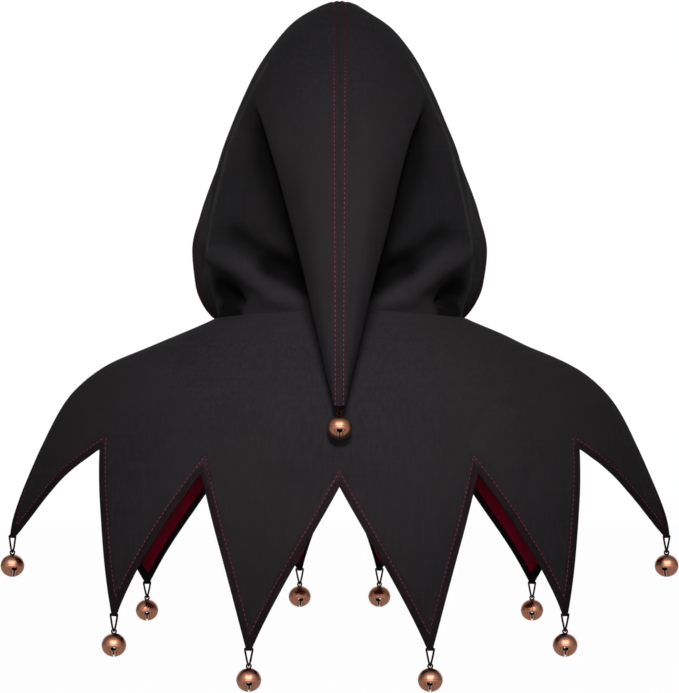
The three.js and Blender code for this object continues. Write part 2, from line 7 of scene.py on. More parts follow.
import bmesh
import bpy
import numpy as np
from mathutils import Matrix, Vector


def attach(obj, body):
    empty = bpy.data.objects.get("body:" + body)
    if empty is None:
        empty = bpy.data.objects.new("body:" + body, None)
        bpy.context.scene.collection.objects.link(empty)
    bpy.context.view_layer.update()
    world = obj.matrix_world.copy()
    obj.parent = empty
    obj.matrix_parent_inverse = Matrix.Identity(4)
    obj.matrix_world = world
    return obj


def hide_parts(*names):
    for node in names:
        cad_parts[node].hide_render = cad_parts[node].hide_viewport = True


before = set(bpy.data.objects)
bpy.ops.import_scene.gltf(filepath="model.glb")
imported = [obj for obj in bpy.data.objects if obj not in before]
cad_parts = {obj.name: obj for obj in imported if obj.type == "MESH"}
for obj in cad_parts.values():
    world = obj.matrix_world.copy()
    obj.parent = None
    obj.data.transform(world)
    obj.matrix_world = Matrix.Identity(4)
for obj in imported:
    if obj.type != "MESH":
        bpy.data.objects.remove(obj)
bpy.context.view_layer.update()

MM = 0.001

# Sizes of the cloth, in millimetres
CLOTH = 1.6
LINING = 1.0
LAYER_GAP = 0.8
SEAM_GAP = 0.3
LINING_DEPTH = CLOTH / 2 + LAYER_GAP + LINING / 2
TIP_WIDTH = 5.4
ROLL_LENGTH = 4.6
ROLL_RADIUS = 1.9
ROLL_BORE = 1.2

# Sizes of the sewing
STITCH_PITCH = 4.3
STITCH_LENGTH = 2.8
STITCH_HALF_WIDTH = 0.3
STITCH_HALF_HEIGHT = 0.28
STITCH_DIP = 2.4
STITCH_SINK = 0.45
STITCH_TINT = 2.2
HEM_INSET = 6.8
RIM_INSET = 7.0
SEAM_ROW = 5.2
SEAM_ROW_AT_TIP = 3.4
FACING = 5.4
FACING_IN_FRONT = 2.2

# Sizes of the bells and their links
BELL_RADIUS = 11.1
BELL_HALF_HEIGHT = 10.5
BELL_WALL = 0.9
EYE_RADIUS = 2.0
EYE_WIRE = 0.75
EYE_SINK = 0.33
SLOT_TOP = 1.0
PELLET_RADIUS = 3.0
PELLET_LIFT = 0.8
LINK_WIRE = 0.92
LINK_CROSSING = 3.4
LINK_BEND = 0.7
LINK_NECK = 1.25
LINK_BAR_SHARE = 0.88
POINT_LINK = {"drop": 27.5, "half_width": 3.3, "shoulder": 1.6}
TAIL_LINK = {"drop": 22.3, "half_width": 2.4, "shoulder": 0.8}
TAIL_BAR_RISE = 5.0

# How far each bell has turned on its link towards the middle, in degrees
BELL_TURNS = {"side": 17, "back_outer": 3, "back_inner": 4, "front_outer": 5, "front_inner": 6, "tail": 1}

# How finely the cloth is divided
RIM_TO_BACK_STEPS = 104
RING_ROWS = 72
RING_CLOSENESS = 1.25
NAPE_ROWS = 56
TAIL_STEPS = 150
CAPE_ROWS = 62
CAPE_CLOSENESS = 1.25
CAPE_LINING_ROWS = 36
HEM_STEP = 4.0
HEM_SAMPLES = 401
LINE_STEP = 1.0

# Edges sharper than this aren't shaded smooth, in degrees
SHARP_CLOTH = 60
SHARP_BELL = 50


# Curves and tables


def hermite(start, start_slope, end, end_slope, t):
    """The cubic that leaves start along its slope at t = 0 and reaches end along its slope at t = 1."""
    t2 = t * t
    t3 = t2 * t
    return (
        start * (2 * t3 - 3 * t2 + 1)
        + start_slope * (t3 - 2 * t2 + t)
        + end * (3 * t2 - 2 * t3)
        + end_slope * (t3 - t2)
    )


def smooth_curve(at, values):
    """Cubics through every value. The slope at a value is the harmonic mean of the slopes on its two sides,
    or none where those differ in sign, so that the curve never swings past its neighbours."""
    slopes = np.diff(values) / np.diff(at)
    before, after = slopes[:-1], slopes[1:]
    alike = before * after > 0
    middle = np.where(alike, 2 * before * after / np.where(alike, before + after, 1), 0)
    tangents = np.concatenate([slopes[:1], middle, slopes[-1:]])

    def curve(t):
        t = np.asarray(t, float)
        i = np.clip(np.searchsorted(at, t) - 1, 0, len(at) - 2)
        span = at[i + 1] - at[i]
        share = (t - at[i]) / span
        return hermite(values[i], tangents[i] * span, values[i + 1], tangents[i + 1] * span, share)

    return curve


def table(names, rows):
    """The named columns of a table as smooth curves over its first column."""
    columns = np.array(rows, float).T
    return {name: smooth_curve(columns[0], column) for name, column in zip(names.split(), columns[1:])}


# Sections of the hood's half at +X from the crown (at 0) to the neck (at 1), past rim, side and back
HOOD = table(
    "rim_x rim_y rim_z side_x side_y side_z back_y back_z",
    [
        [0.0, 0, -103, 262, 0, 8, 290.5, 86, 257],
        [0.03, 13, -103, 260, 12.3, 5, 288.5, 88, 252],
        [0.06, 26, -103, 255, 25.8, 2, 282, 90, 247],
        [0.125, 52, -102, 238, 52.3, -6, 262, 94, 233],
        [0.25, 86, -99, 204, 86, -11, 211, 93, 210],
        [0.375, 108, -95, 168, 102, -13, 173, 89, 186],
        [0.5, 123, -89, 131, 113, -12, 140, 99, 165],
        [0.62, 135, -81, 95, 121, -10, 106, 110, 128],
        [0.74, 142.5, -73, 60, 125, -8, 70, 112, 88],
        [0.82, 138.5, -71, 26, 124, -6, 46, 106, 62],
        [0.875, 118, -73, -6, 122, -4, 30, 99, 42],
        [0.91, 76, -77, -15, 119, -3, 18, 88, 28],
        [0.94, 0, -76, -18, 116, -2, 9, 80, 17],
        [1.0, 0, -65, -52, 112, 0, -24, 68, -20],
    ],
)
TAIL_FOOT = 0.5
NAPE_START = 0.62
RIM_CORNER = 0.875
FRONT_SEAM = 0.94

# Sections of the tail from its root (at 0) to its tip (at 1)
TAIL = table(
    "outer_y outer_z inner_y inner_z half_width bow sag",
    [
        [0.0, 86, 257, 99, 165, 75, 26, 20],
        [0.2, 122, 207, 113, 134, 63, 18, 15],
        [0.4, 145, 142, 125, 95, 50.5, 12, 9],
        [0.6, 154, 70, 134, 42, 36, 8, 5],
        [0.8, 155, -6, 140, -20, 20, 4, 2],
        [1.0, 149, -84, 142.5, -86, 4.4, 0, 0],
    ],
)
TAIL_NEXT = 0.2

# Folds in the hood's back as seen from behind: the line's places in x and z, the height, and the width on the
# side towards the middle and on the side away from it
HOOD_FOLDS = {
    "beside the tail": ([(70, 166), (50, 106), (30, 36)], -14, 18, 16),
    "upper dent": ([(62, 39), (53, 34), (28, 22)], -13, 15, 10),
    "dent's end": ([(97, 66), (78, 51), (62, 39)], -8, 12, 8),
    "roll": ([(116, 50), (92, 36), (76, 24), (60, 13), (42, 5)], 7, 9, 8),
    "neck pocket": ([(110, 16), (99, -4)], -23, 12, 12),
    "small roll": ([(90, -4), (77, 5), (62, 4), (43, 0)], 6, 5, 5),
}

# The ridge along the hood's side, painted paler as a highlight, in x and z as seen from behind
SIDE_RIDGE = [
    (66, 226), (80, 203), (94, 176), (103, 152), (110, 120), (116, 97), (121, 72), (125, 47), (126.5, 26),
]
RIDGE_WIDTH = 2.4

# Lines in the hood's back where deep shade is painted into the colour: places, strength and widths as for the
# folds
DEEP_LINES = {
    "pocket": ([(108, 25), (99, 12), (102, -2)], 1.0, 9, 9),
    "beside the tail": ([(76, 130), (71, 108), (67, 82)], 0.46, 20, 24),
    "side streak": ([(112, 130), (118, 104), (125, 76)], 0.7, 1.5, 2.6),
    "lower side streak": ([(128.5, 62), (130.5, 40)], 0.5, 1.5, 2.2),
}

# Here the lining keeps clear of the tail's root and of the neck pocket
LINING_FOLDS = {"root": ([(90, 206), (76, 176)], -6, 18, 18), "pocket": ([(110, 16), (99, -4)], -3, 18, 18)}

# Levels of the cape from the neck (at 0) to the tips (about 1)
CAPE = table(
    "half_width side_z back_y back_z front_y front_z",
    [
        [0.0, 115.4, -6, 74, 0, -72.6, -34],
        [0.2, 172, -29.8, 109, -50, -104, -72],
        [0.37, 220, -52, 127, -102, -123, -108],
        [0.5, 249.5, -75.5, 134.5, -142, -135, -137],
        [0.6, 265.4, -99, 138.5, -174, -141, -160],
        [0.75, 285, -141, 141.5, -221, -145, -195],
        [1.0, 309, -212, 145, -300, -150, -255],
        [1.12, 314, -246, 146, -338, -151, -284],
    ],
)

# The hem on one side, from the middle of the back (0 degrees) to the middle of the front (180)
SHOULDER_SEAM = 95.0
HEM = [
    {"kind": "valley", "angle": 0.0, "reach": 0.545},
    {"kind": "tip", "name": "back_inner", "angle": 15.0, "reach": 1.016, "bow": 1.0},
    {"kind": "valley", "angle": 28.4, "reach": 0.56},
    {"kind": "tip", "name": "back_outer", "angle": 40.6, "reach": 1.03, "bow": 1.0},
    {"kind": "valley", "angle": 55.1, "reach": 0.604},
    {"kind": "tip", "name": "side", "angle": 82.0, "reach": 0.982, "bow": 0.0},
    {"kind": "valley", "angle": SHOULDER_SEAM, "reach": 0.5},
    {"kind": "bend", "angle": 121.0, "reach": 0.6},
    {"kind": "tip", "name": "front_outer", "angle": 142.6, "reach": 1.1, "bow": 0.0},
    {"kind": "valley", "angle": 155.4, "reach": 0.585},
    {"kind": "tip", "name": "front_inner", "angle": 172.6, "reach": 1.0, "bow": 0.8},
    {"kind": "valley", "angle": 180.0, "reach": 0.6},
]
CLAW = {"angle": 82.0, "from": 55.1, "start": 0.604, "reach": 0.982, "turn": np.radians(45.0)}


# Arithmetic on rows of points


def ease(low, high, value):
    """Rises smoothly from 0 at low to 1 at high."""
    t = np.clip((value - low) / (high - low), 0, 1)
    return t * t * (3 - 2 * t)


def mix(one, other, share):
    return one + (other - one) * share


def xyz(x, y, z):
    """Three arrays as points, the last axis being x, y, z."""
    return np.stack(np.broadcast_arrays(x, y, z), -1).astype(float)


def unit(vectors):
    return vectors / np.maximum(np.linalg.norm(vectors, axis=-1, keepdims=True), 1e-12)


def bump(distance, width):
    """A smooth rise of height 1 about distance 0: the bell curve exp(-(distance / width)^2)."""
    return np.exp(-((distance / width) ** 2))


def lengths_along(points):
    """Length of a path from its start to each of its points. The path runs along the last but one axis."""
    steps = np.linalg.norm(np.diff(points, axis=-2), axis=-1)
    return np.concatenate([np.zeros_like(steps[..., :1]), np.cumsum(steps, -1)], -1)


def lengths_down(sheet):
    """Length down each column of a sheet from its top row to each of its points."""
    return lengths_along(sheet.transpose(1, 0, 2)).T


def flat_places(sheet):
    """Each point's place on the flat cloth in metres: its lengths along its row and down its column."""
    return np.stack([lengths_along(sheet), lengths_down(sheet)], -1) * MM


def resampled(path, spacing):
    """The path's points at an even spacing, as near to the given one as fits."""
    along = lengths_along(path)
    count = max(int(round(along[-1] / spacing)), 1)
    places = np.linspace(0, along[-1], count + 1)
    return np.stack([np.interp(places, along, path[:, k]) for k in range(path.shape[1])], -1)


def distance_to(points, line):
    """Distance from each point to the nearest place on a line of close points, by
    |a - b|^2 = a.a + b.b - 2 a.b, for a batch of points at a time."""
    batch = 4000
    flat = points.reshape(-1, 3)
    nearest = np.empty(len(flat))
    squares = (line * line).sum(1)
    for start in range(0, len(flat), batch):
        part = flat[start : start + batch]
        apart = (part * part).sum(1)[:, None] + squares[None] - 2 * part @ line.T
        nearest[start : start + batch] = apart.min(1)
    return np.sqrt(np.maximum(nearest, 0)).reshape(points.shape[:-1])


def ridge(distance, height, place, width):
    """A rise or groove beside a line, by the bell curve of the distance from its own place."""
    return height * bump(distance - place, width)


rng = np.random.default_rng(11)
WAVE_COUNT = 16
WAVE_LENGTHS = rng.uniform(34, 120, WAVE_COUNT)
WAVE_DIRECTIONS = unit(rng.normal(size=(WAVE_COUNT, 3)) * (1.0, 1.0, 0.35))
WAVE_PHASES = rng.uniform(0, 2 * np.pi, WAVE_COUNT)


def unevenness(points, height):
    """Soft unevenness of hanging cloth: waves of several lengths in fixed directions, most of them across the
    hanging threads, added up and scaled to the height."""
    phases = points @ (WAVE_DIRECTIONS.T * (2 * np.pi / WAVE_LENGTHS)) + WAVE_PHASES
    weights = WAVE_LENGTHS / WAVE_LENGTHS.sum()
    return height * (np.sin(phases) * weights).sum(-1) * 3


# Meshes


def numbered(shape):
    """The numbers of a grid's points, row by row."""
    return np.arange(shape[0] * shape[1]).reshape(shape)


def grid_faces(numbers, closed=False):
    """Four-sided faces of a grid of point numbers; a cell with a missing corner (-1) is left out. A closed
    grid's last column joins its first."""
    if closed:
        numbers = np.concatenate([numbers, numbers[:, :1]], 1)
    corners = [numbers[:-1, :-1], numbers[1:, :-1], numbers[1:, 1:], numbers[:-1, 1:]]
    faces = np.stack(corners, -1).reshape(-1, 4)
    return faces[(faces >= 0).all(1)]


def looped_faces(shape):
    """Faces of a grid whose last row joins its first, and whose last column joins its first."""
    numbers = numbered(shape)
    return grid_faces(np.concatenate([numbers, numbers[:1]]), closed=True)


def turned_out(faces, sign):
    """Faces that still face outwards when their points are mirrored, as they are for a sign below 0."""
    step = -1 if sign < 0 else 1
    return [some[:, ::step] for some in faces] if isinstance(faces, list) else faces[:, ::step]


def normals_of(points, faces):
    """Normal at each point: the sum of its faces' normals, each the cross product of the face's diagonals."""
    a, b, c, d = (points[faces[:, k]] for k in range(4))
    across = np.cross(c - a, d - b)
    normals = np.zeros_like(points)
    for k in range(4):
        np.add.at(normals, faces[:, k], across)
    normals[np.abs(points[:, 0]) <= SEAM_GAP, 0] = 0
    return unit(normals)


def closed_wall(outer, inner, faces):
    """Points and faces of a wall between two copies of a sheet. Strips close it along the free edges, which
    are the edges that run in one direction only."""
    count = len(outer)
    edges = np.concatenate([faces[:, [k, (k + 1) % 4]] for k in range(4)])
    free = edges[~np.isin(edges[:, 0] * count + edges[:, 1], edges[:, 1] * count + edges[:, 0])]
    a, b = free[:, 0], free[:, 1]
    strips = np.stack([b, a, a + count, b + count], 1)
    return np.concatenate([outer, inner]), np.concatenate([faces, faces[:, ::-1] + count, strips])


def lining_wall(soft, outward, faces):
    """Points and faces of a lining about its middle surface."""
    half = outward * (LINING / 2)
    return closed_wall(soft + half, soft - half, faces)


def joined(parts):
    """Several (points, faces) as one; faces are arrays of any width, or lists of such arrays."""
    points, faces, count = [], [], 0
    for part_points, part_faces in parts:
        for some in part_faces if isinstance(part_faces, list) else [part_faces]:
            faces.append(some + count)
        points.append(part_points)
        count += len(part_points)
    return np.concatenate(points), faces


def make_piece(name, points, faces, material, slot, nodes=(), uv=None, values=None, weld=False):
    """A mesh object of the given points, in millimetres, riding on the part's one body. uv gives each point's
    place on the flat cloth in metres, and values names numbers that the material reads."""
    mesh = bpy.data.meshes.new(name)
    lists = [face for some in (faces if isinstance(faces, list) else [faces]) for face in some.tolist()]
    mesh.from_pydata((points * MM).tolist(), [], lists)
    if uv is not None:
        corners = np.empty(len(mesh.loops), np.int32)
        mesh.loops.foreach_get("vertex_index", corners)
        mesh.uv_layers.new(name="cloth").data.foreach_set("uv", uv[corners].astype(np.float32).ravel())
    for key, numbers in (values or {}).items():
        mesh.attributes.new(key, "FLOAT", "POINT").data.foreach_set("value", numbers.astype(np.float32))
    if weld:
        work = bmesh.new()
        work.from_mesh(mesh)
        bmesh.ops.remove_doubles(work, verts=work.verts, dist=1e-6)
        bmesh.ops.dissolve_degenerate(work, edges=work.edges, dist=1e-7)
        work.to_mesh(mesh)
        work.free()
    mesh.polygons.foreach_set("use_smooth", np.ones(len(mesh.polygons), bool))
    mesh.materials.append(material)
    made = bpy.data.objects.new(name, mesh)
    bpy.context.scene.collection.objects.link(made)
    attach(made, "root")
    if nodes:
        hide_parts(*nodes)
    return made


def sharp_edges(piece, degrees):
    """Keeps edges sharper than this angle from being shaded smooth."""
    piece.data.set_sharp_from_angle(angle=np.radians(degrees))


# Materials


def new_material(name):
    """A material, its nodes and its shader."""
    material = bpy.data.materials.new(name)
    material.use_nodes = True
    tree = material.node_tree
    return material, tree, tree.nodes["Principled BSDF"]


def new_group(name, inputs, outputs):
    """The nodes of a group with the named sockets, and the two nodes that it starts from and ends in."""
    tree = bpy.data.node_groups.new(name, "ShaderNodeTree")
    for socket, kind in inputs.items():
        tree.interface.new_socket(socket, in_out="INPUT", socket_type="NodeSocket" + kind)
    for socket in outputs:
        tree.interface.new_socket(socket, in_out="OUTPUT", socket_type="NodeSocketFloat")
    return tree, tree.nodes.new("NodeGroupInput"), tree.nodes.new("NodeGroupOutput")


def set_inputs(tree, node, inputs):
    """Gives a node its inputs, which are values or other nodes' outputs."""
    for key, value in inputs.items():
        if isinstance(value, bpy.types.NodeSocket):
            tree.links.new(value, node.inputs[key])
        else:
            node.inputs[key].default_value = value


def add_node(tree, kind, settings=None, inputs=None):
    """A shader node with its settings and its inputs."""
    made = tree.nodes.new("ShaderNode" + kind)
    for key, value in (settings or {}).items():
        setattr(made, key, value)
    set_inputs(tree, made, inputs or {})
    return made


def math_node(tree, operation, *values):
    return add_node(tree, "Math", {"operation": operation}, dict(enumerate(values))).outputs[0]


def noise_at(tree, vector, scale, detail=2.0):
    made = add_node(tree, "TexNoise", {}, {"Vector": vector, "Scale": scale, "Detail": detail})
    return made.outputs["Fac"]


def ranged(tree, value, low, high, to_low, to_high):
    sizes = {"Value": value, "From Min": low, "From Max": high, "To Min": to_low, "To Max": to_high}
    return add_node(tree, "MapRange", {}, sizes).outputs["Result"]


def mixed_colour(tree, share, one, other):
    made = add_node(tree, "Mix", {"data_type": "RGBA"}, {"Factor": share, "A": one, "B": other})
    return made.outputs["Result"]


def stretched(tree, vector, scale):
    made = add_node(tree, "Mapping", {}, {"Vector": vector, "Scale": scale})
    return made.outputs["Vector"]


def object_place(tree):
    return add_node(tree, "TexCoord").outputs["Object"]


def value_of(tree, name):
    """One of the numbers that a piece's points carry."""
    return add_node(tree, "Attribute", {"attribute_name": name}).outputs["Fac"]


def bumped(tree, height, strength, distance):
    """The normal with a relief in it."""
    made = add_node(tree, "Bump", {}, {"Strength": strength, "Distance": distance, "Height": height})
    return made.outputs["Normal"]


# How the noise of the slubs is drawn out along the hanging and the level threads, and the share of each
HANGING_SLUBS = (420.0, 420.0, 14.0)
LEVEL_SLUBS = (16.0, 16.0, 460.0)
HANGING_SHARE = 0.7
LEVEL_SHARE = 0.3


def weave_group():
    """Plain weave: Height is the product of two sine waves over the flat cloth, one across the threads of
    each direction. Slub is noise drawn out along the hanging and the level threads, some of which are thicker
    than others."""
    tree, start, end = new_group(
        "weave", {"Place": "Vector", "Threads per metre": "Float"}, ["Height", "Slub"]
    )
    parts = add_node(tree, "SeparateXYZ", {}, {0: start.outputs["Place"]})
    turns = math_node(tree, "MULTIPLY", start.outputs["Threads per metre"], float(np.pi))
    waves = []
    for axis in ("X", "Y"):
        waves.append(math_node(tree, "SINE", math_node(tree, "MULTIPLY", parts.outputs[axis], turns)))
    hung = object_place(tree)
    hanging = noise_at(tree, stretched(tree, hung, HANGING_SLUBS), 1.0)
    level = noise_at(tree, stretched(tree, hung, LEVEL_SLUBS), 1.0)
    hanging = math_node(tree, "MULTIPLY", hanging, HANGING_SHARE)
    level = math_node(tree, "MULTIPLY", level, LEVEL_SHARE)
    height = math_node(tree, "MULTIPLY", *waves)
    set_inputs(tree, end, {"Height": height, "Slub": math_node(tree, "ADD", hanging, level)})
    return tree


WEAVE = weave_group()


def woven(tree, threads):
    """The weave on a material's own flat cloth."""
    place = add_node(tree, "UVMap", {"uv_map": "cloth"}).outputs["UV"]
    group = add_node(tree, "Group", {"node_tree": WEAVE}, {"Place": place, "Threads per metre": threads})
    return group.outputs["Height"], group.outputs["Slub"]


BLACK_THREADS = 1500.0
LINING_THREADS = 2600.0

# Tints on the black cloth, among them painted shade and a painted highlight: the value of the piece that each
# follows, its share at most and its colour
CLOTH_TINTS_AND_PAINTED_LIGHT = [
    ("stitching", 0.3, (0.05, 0.006, 0.016, 1)),
    ("hem_band", 0.6, (0.0115, 0.0055, 0.0070, 1)),
    # painted shade, darkest in the deep folds and along the tail's sides
    ("painted_shade", 0.92, (0.002, 0.0019, 0.002, 1)),
    ("rim_warmth", 0.75, (0.0250, 0.0105, 0.0115, 1)),
    # a painted highlight, paler along the ridge on the hood's side
    ("painted_highlight", 0.7, (0.0520, 0.0485, 0.0440, 1)),
]


def black_cloth():
    """Matt black woven cloth with uneven threads, paler and warmer in places. It is redder along the rows of
    stitches, darker along the hems and warmer at the rim. Painted shade makes it darker in the deep folds and
    along the tail's sides, and a painted highlight makes it paler along the ridge on the hood's side."""
    material, tree, shader = new_material("black cloth")
    height, slub = woven(tree, BLACK_THREADS)
    spread = object_place(tree)
    threads = ranged(tree, slub, 0.36, 0.64, 0, 1)
    patches = ranged(tree, noise_at(tree, spread, 11.0, 3.0), 0.4, 0.65, 0, 0.45)
    warmth = ranged(tree, noise_at(tree, spread, 5.0, 1.0), 0.45, 0.7, 0, 0.4)
    colour = mixed_colour(tree, threads, (0.0162, 0.0151, 0.0164, 1), (0.0206, 0.0191, 0.0208, 1))
    colour = mixed_colour(tree, patches, colour, (0.0235, 0.0212, 0.0236, 1))
    colour = mixed_colour(tree, warmth, colour, (0.0205, 0.0172, 0.0160, 1))
    for name, most, tint in CLOTH_TINTS_AND_PAINTED_LIGHT:
        share = math_node(tree, "MULTIPLY", value_of(tree, name), most)
        colour = mixed_colour(tree, share, colour, tint)
    raised = math_node(tree, "MULTIPLY_ADD", slub, 1.6, height)
    looks = {
        "Base Color": colour,
        "Roughness": ranged(tree, slub, 0.3, 0.7, 0.92, 0.74),
        "Specular IOR Level": 0.04,
        "Normal": bumped(tree, raised, 0.35, 0.00025),
    }
    set_inputs(tree, shader, looks)
    return material


def crimson_lining():
    """Smooth crimson lining cloth with a finer weave and a soft gloss."""
    material, tree, shader = new_material("crimson lining")
    height, slub = woven(tree, LINING_THREADS)
    threads = ranged(tree, slub, 0.35, 0.65, 0, 1)
    patches = ranged(tree, noise_at(tree, object_place(tree), 14.0, 2.0), 0.4, 0.7, 0, 0.5)
    colour = mixed_colour(tree, threads, (0.25, 0.0016, 0.0200, 1), (0.36, 0.0028, 0.0320, 1))
    colour = mixed_colour(tree, patches, colour, (0.20, 0.0014, 0.0155, 1))
    looks = {
        "Base Color": colour,
        "Roughness": ranged(tree, slub, 0.3, 0.7, 0.65, 0.5),
        "Specular IOR Level": 0.05,
        "Normal": bumped(tree, height, 0.2, 0.0001),
    }
    set_inputs(tree, shader, looks)
    return material


def crimson_thread():
    """Twisted sewing thread: slanting stripes of darker and paler crimson."""
    material, tree, shader = new_material("crimson thread")
    place = object_place(tree)
    stripes = {"Vector": place, "Scale": 900.0, "Distortion": 1.0}
    twist = add_node(tree, "TexWave", {"bands_direction": "DIAGONAL"}, stripes).outputs["Fac"]
    shades = ranged(tree, noise_at(tree, place, 60.0), 0.4, 0.7, 0, 0.5)
    colour = mixed_colour(tree, twist, (0.092, 0.017, 0.031, 1), (0.20, 0.054, 0.080, 1))
    colour = mixed_colour(tree, shades, colour, (0.26, 0.085, 0.110, 1))
    looks = {"Base Color": colour, "Roughness": 0.6, "Normal": bumped(tree, twist, 0.4, 0.0001)}
    set_inputs(tree, shader, looks)
    return material


def tarnish_and_shade_group():
    """Old metal: the first output is dark in tarnished blotches and, as painted shade, where the piece's
    recess value is high; the second is a painted highlight where that value is below 0; and Rough is a fine
    unevenness of the gloss."""
    tree, start, end = new_group(
        "tarnish_and_shade", {"Recess": "Float", "Blotches": "Float"}, ["Tarnish and shade", "Painted highlight", "Rough"]
    )
    recess = start.outputs["Recess"]
    place = object_place(tree)
    blotches = ranged(tree, noise_at(tree, place, 320.0, 4.0), 0.45, 0.75, 0, 1)
    spotted = math_node(tree, "MULTIPLY", blotches, start.outputs["Blotches"])
    tarnish_and_shade = add_node(tree, "Math", {"operation": "ADD", "use_clamp": True}, {0: spotted, 1: recess})
    results = {
        "Tarnish and shade": tarnish_and_shade.outputs[0],
        "Painted highlight": ranged(tree, recess, -1, 0, 1, 0),
        "Rough": noise_at(tree, place, 1500.0, 2.0),
    }
    set_inputs(tree, end, results)
    return tree


TARNISH_AND_SHADE = tarnish_and_shade_group()


PAINTED_HIGHLIGHT_COLOUR = (0.95, 0.80, 0.70, 1)


def old_metal(name, bright, dark, gloss, blotches):
    """Metal that is palest where a highlight is painted on, and dark where shade is painted into its recesses
    and in tarnished blotches. gloss is its lowest and highest roughness."""
    material, tree, shader = new_material(name)
    wear = {"Recess": value_of(tree, "recess"), "Blotches": blotches}
    group = add_node(tree, "Group", {"node_tree": TARNISH_AND_SHADE}, wear)
    tarnish_and_shade, painted_highlight, rough = (group.outputs[key] for key in ("Tarnish and shade", "Painted highlight", "Rough"))
    # Dark in tarnished blotches and where shade is painted into the recesses, pale where a highlight is
    # painted on
    colour = mixed_colour(tree, tarnish_and_shade, bright, dark)
    colour = mixed_colour(tree, painted_highlight, colour, PAINTED_HIGHLIGHT_COLOUR)
    duller = math_node(tree, "MULTIPLY", tarnish_and_shade, 0.15)
    looks = {
        "Base Color": colour,
        "Metallic": 1.0,
        "Roughness": math_node(tree, "ADD", ranged(tree, rough, 0.3, 0.7, *gloss), duller),
        "Normal": bumped(tree, rough, 0.12, 0.0001),
    }
    set_inputs(tree, shader, looks)
    return material


BLACK_CLOTH = black_cloth()
CRIMSON_LINING = crimson_lining()
CRIMSON_THREAD = crimson_thread()
BELL_COPPER = old_metal("bell copper", (0.75, 0.322, 0.203, 1), (0.05, 0.016, 0.010, 1), (0.24, 0.34), 0.1)
LINK_COPPER = old_metal("link copper", (0.030, 0.010, 0.010, 1), (0.014, 0.006, 0.006, 1), (0.6, 0.75), 0.5)
PELLET_STEEL = old_metal("pellet steel", (0.13, 0.125, 0.12, 1), (0.05, 0.045, 0.04, 1), (0.4, 0.55), 0.5)


# Stitches

STITCH_SECTIONS = np.array([[-0.5, 0.35], [-0.36, 0.9], [0.0, 1.0], [0.36, 0.9], [0.5, 0.35]])
STITCH_SIDES = 6


def stitch_row(path, outward):
    """Points and faces of one row of stitches. Each stitch is a thread of six sides along the path, thickest
    in its middle, whose ends dip into the cloth: place = centre + length * along + width * cos * across +
    (height * sin - dip) * outward."""
    along = lengths_along(path)
    count = int(along[-1] / STITCH_PITCH)
    middles = (np.arange(count) + 0.5) * (along[-1] / count)

    def at(places, rows):
        return np.stack([np.interp(places, along, rows[:, k]) for k in range(3)], -1)

    tangent = unit(at(middles + STITCH_LENGTH / 2, path) - at(middles - STITCH_LENGTH / 2, path))
    centre = (at(middles + STITCH_LENGTH / 2, path) + at(middles - STITCH_LENGTH / 2, path)) / 2
    normal = unit(at(middles, outward))
    across = unit(np.cross(normal, tangent))
    turn = np.arange(STITCH_SIDES) * 2 * np.pi / STITCH_SIDES
    lengthwise = (STITCH_SECTIONS[:, 0] * STITCH_LENGTH)[None, :, None, None]
    swell = STITCH_SECTIONS[:, 1][None, :, None, None]
    dip = (STITCH_SECTIONS[:, 0] ** 2 * STITCH_DIP * STITCH_HALF_HEIGHT)[None, :, None, None]
    width = STITCH_HALF_WIDTH * swell * np.cos(turn)[None, None, :, None]
    height = STITCH_HALF_HEIGHT * swell * np.sin(turn)[None, None, :, None] - dip
    points = (
        centre[:, None, None]
        + lengthwise * tangent[:, None, None]
        + width * across[:, None, None]
        + height * normal[:, None, None]
    )
    sections = len(STITCH_SECTIONS)
    one = np.arange(sections * STITCH_SIDES).reshape(sections, STITCH_SIDES)
    offsets = (np.arange(count) * one.size)[:, None, None]
    sides = (grid_faces(one, closed=True)[:, ::-1][None] + offsets).reshape(-1, 4)
    caps = (np.stack([one[0], one[-1][::-1]])[None] + offsets).reshape(-1, STITCH_SIDES)
    return points.reshape(-1, 3), [sides, caps]


def sewn(path, outward):
    """A row of stitches sunk into the outside of the cloth."""
    return stitch_row(path + outward * (CLOTH / 2 - STITCH_SINK), outward)


# Hood

# How the hood's cubics leave the rim, the side and the back
ROUND = 1.6
FRONT_SLACK = 0.65
DOME_SLACK = 0.5
DOME_SLOPE = np.array([0.0, 40.0, -60.0])
ROOT_LEAN = (0.5, 1.0)
LINING_LEAN = (0.2, 0.6)

# Where the folds come in, in y and z, and where they fade out before the tail's root
FOLDS_Y = (0, 32)
FOLDS_Z = (0, 12)
ROOT_FADE = (0.75, 1.0)
LINING_ROOT_FADE = (0.5, 0.75)
ROOT_FADE_ABOVE = 0.4

# Painted shade, a painted highlight and warmth in the colour of the hood
HOLLOW_DEPTH = 14.0
HOLLOWS_Y = (0, 25)
TAIL_SHADE = 0.4
TAIL_SHADE_FROM = (0.48, 0.92)
TAIL_SHADE_FADE = (95, 160)
RIDGE_BEHIND = -6
RIM_WARMTH = (4, 34)

# The hood's unevenness, calm beside the centre seam, and the dent in the right side of the tail
HOOD_UNEVEN = 1.0
SEAM_CALM = (2, 16)
TAIL_DENT = {"depth": 2.2, "x": 17, "half_width": 6, "z": 160, "half_height": 38, "from_y": (95, 110)}

# Relief beside the hood's sewing: height, place and width of each ridge or groove
HOOD_RELIEF = {
    "row": (-0.55, 0, 1.3),
    "swell": (0.3, 3.0, 1.8),
    "seam": (-0.9, 0, 1.3),
    "rim": (-0.4, 0, 0.9),
}


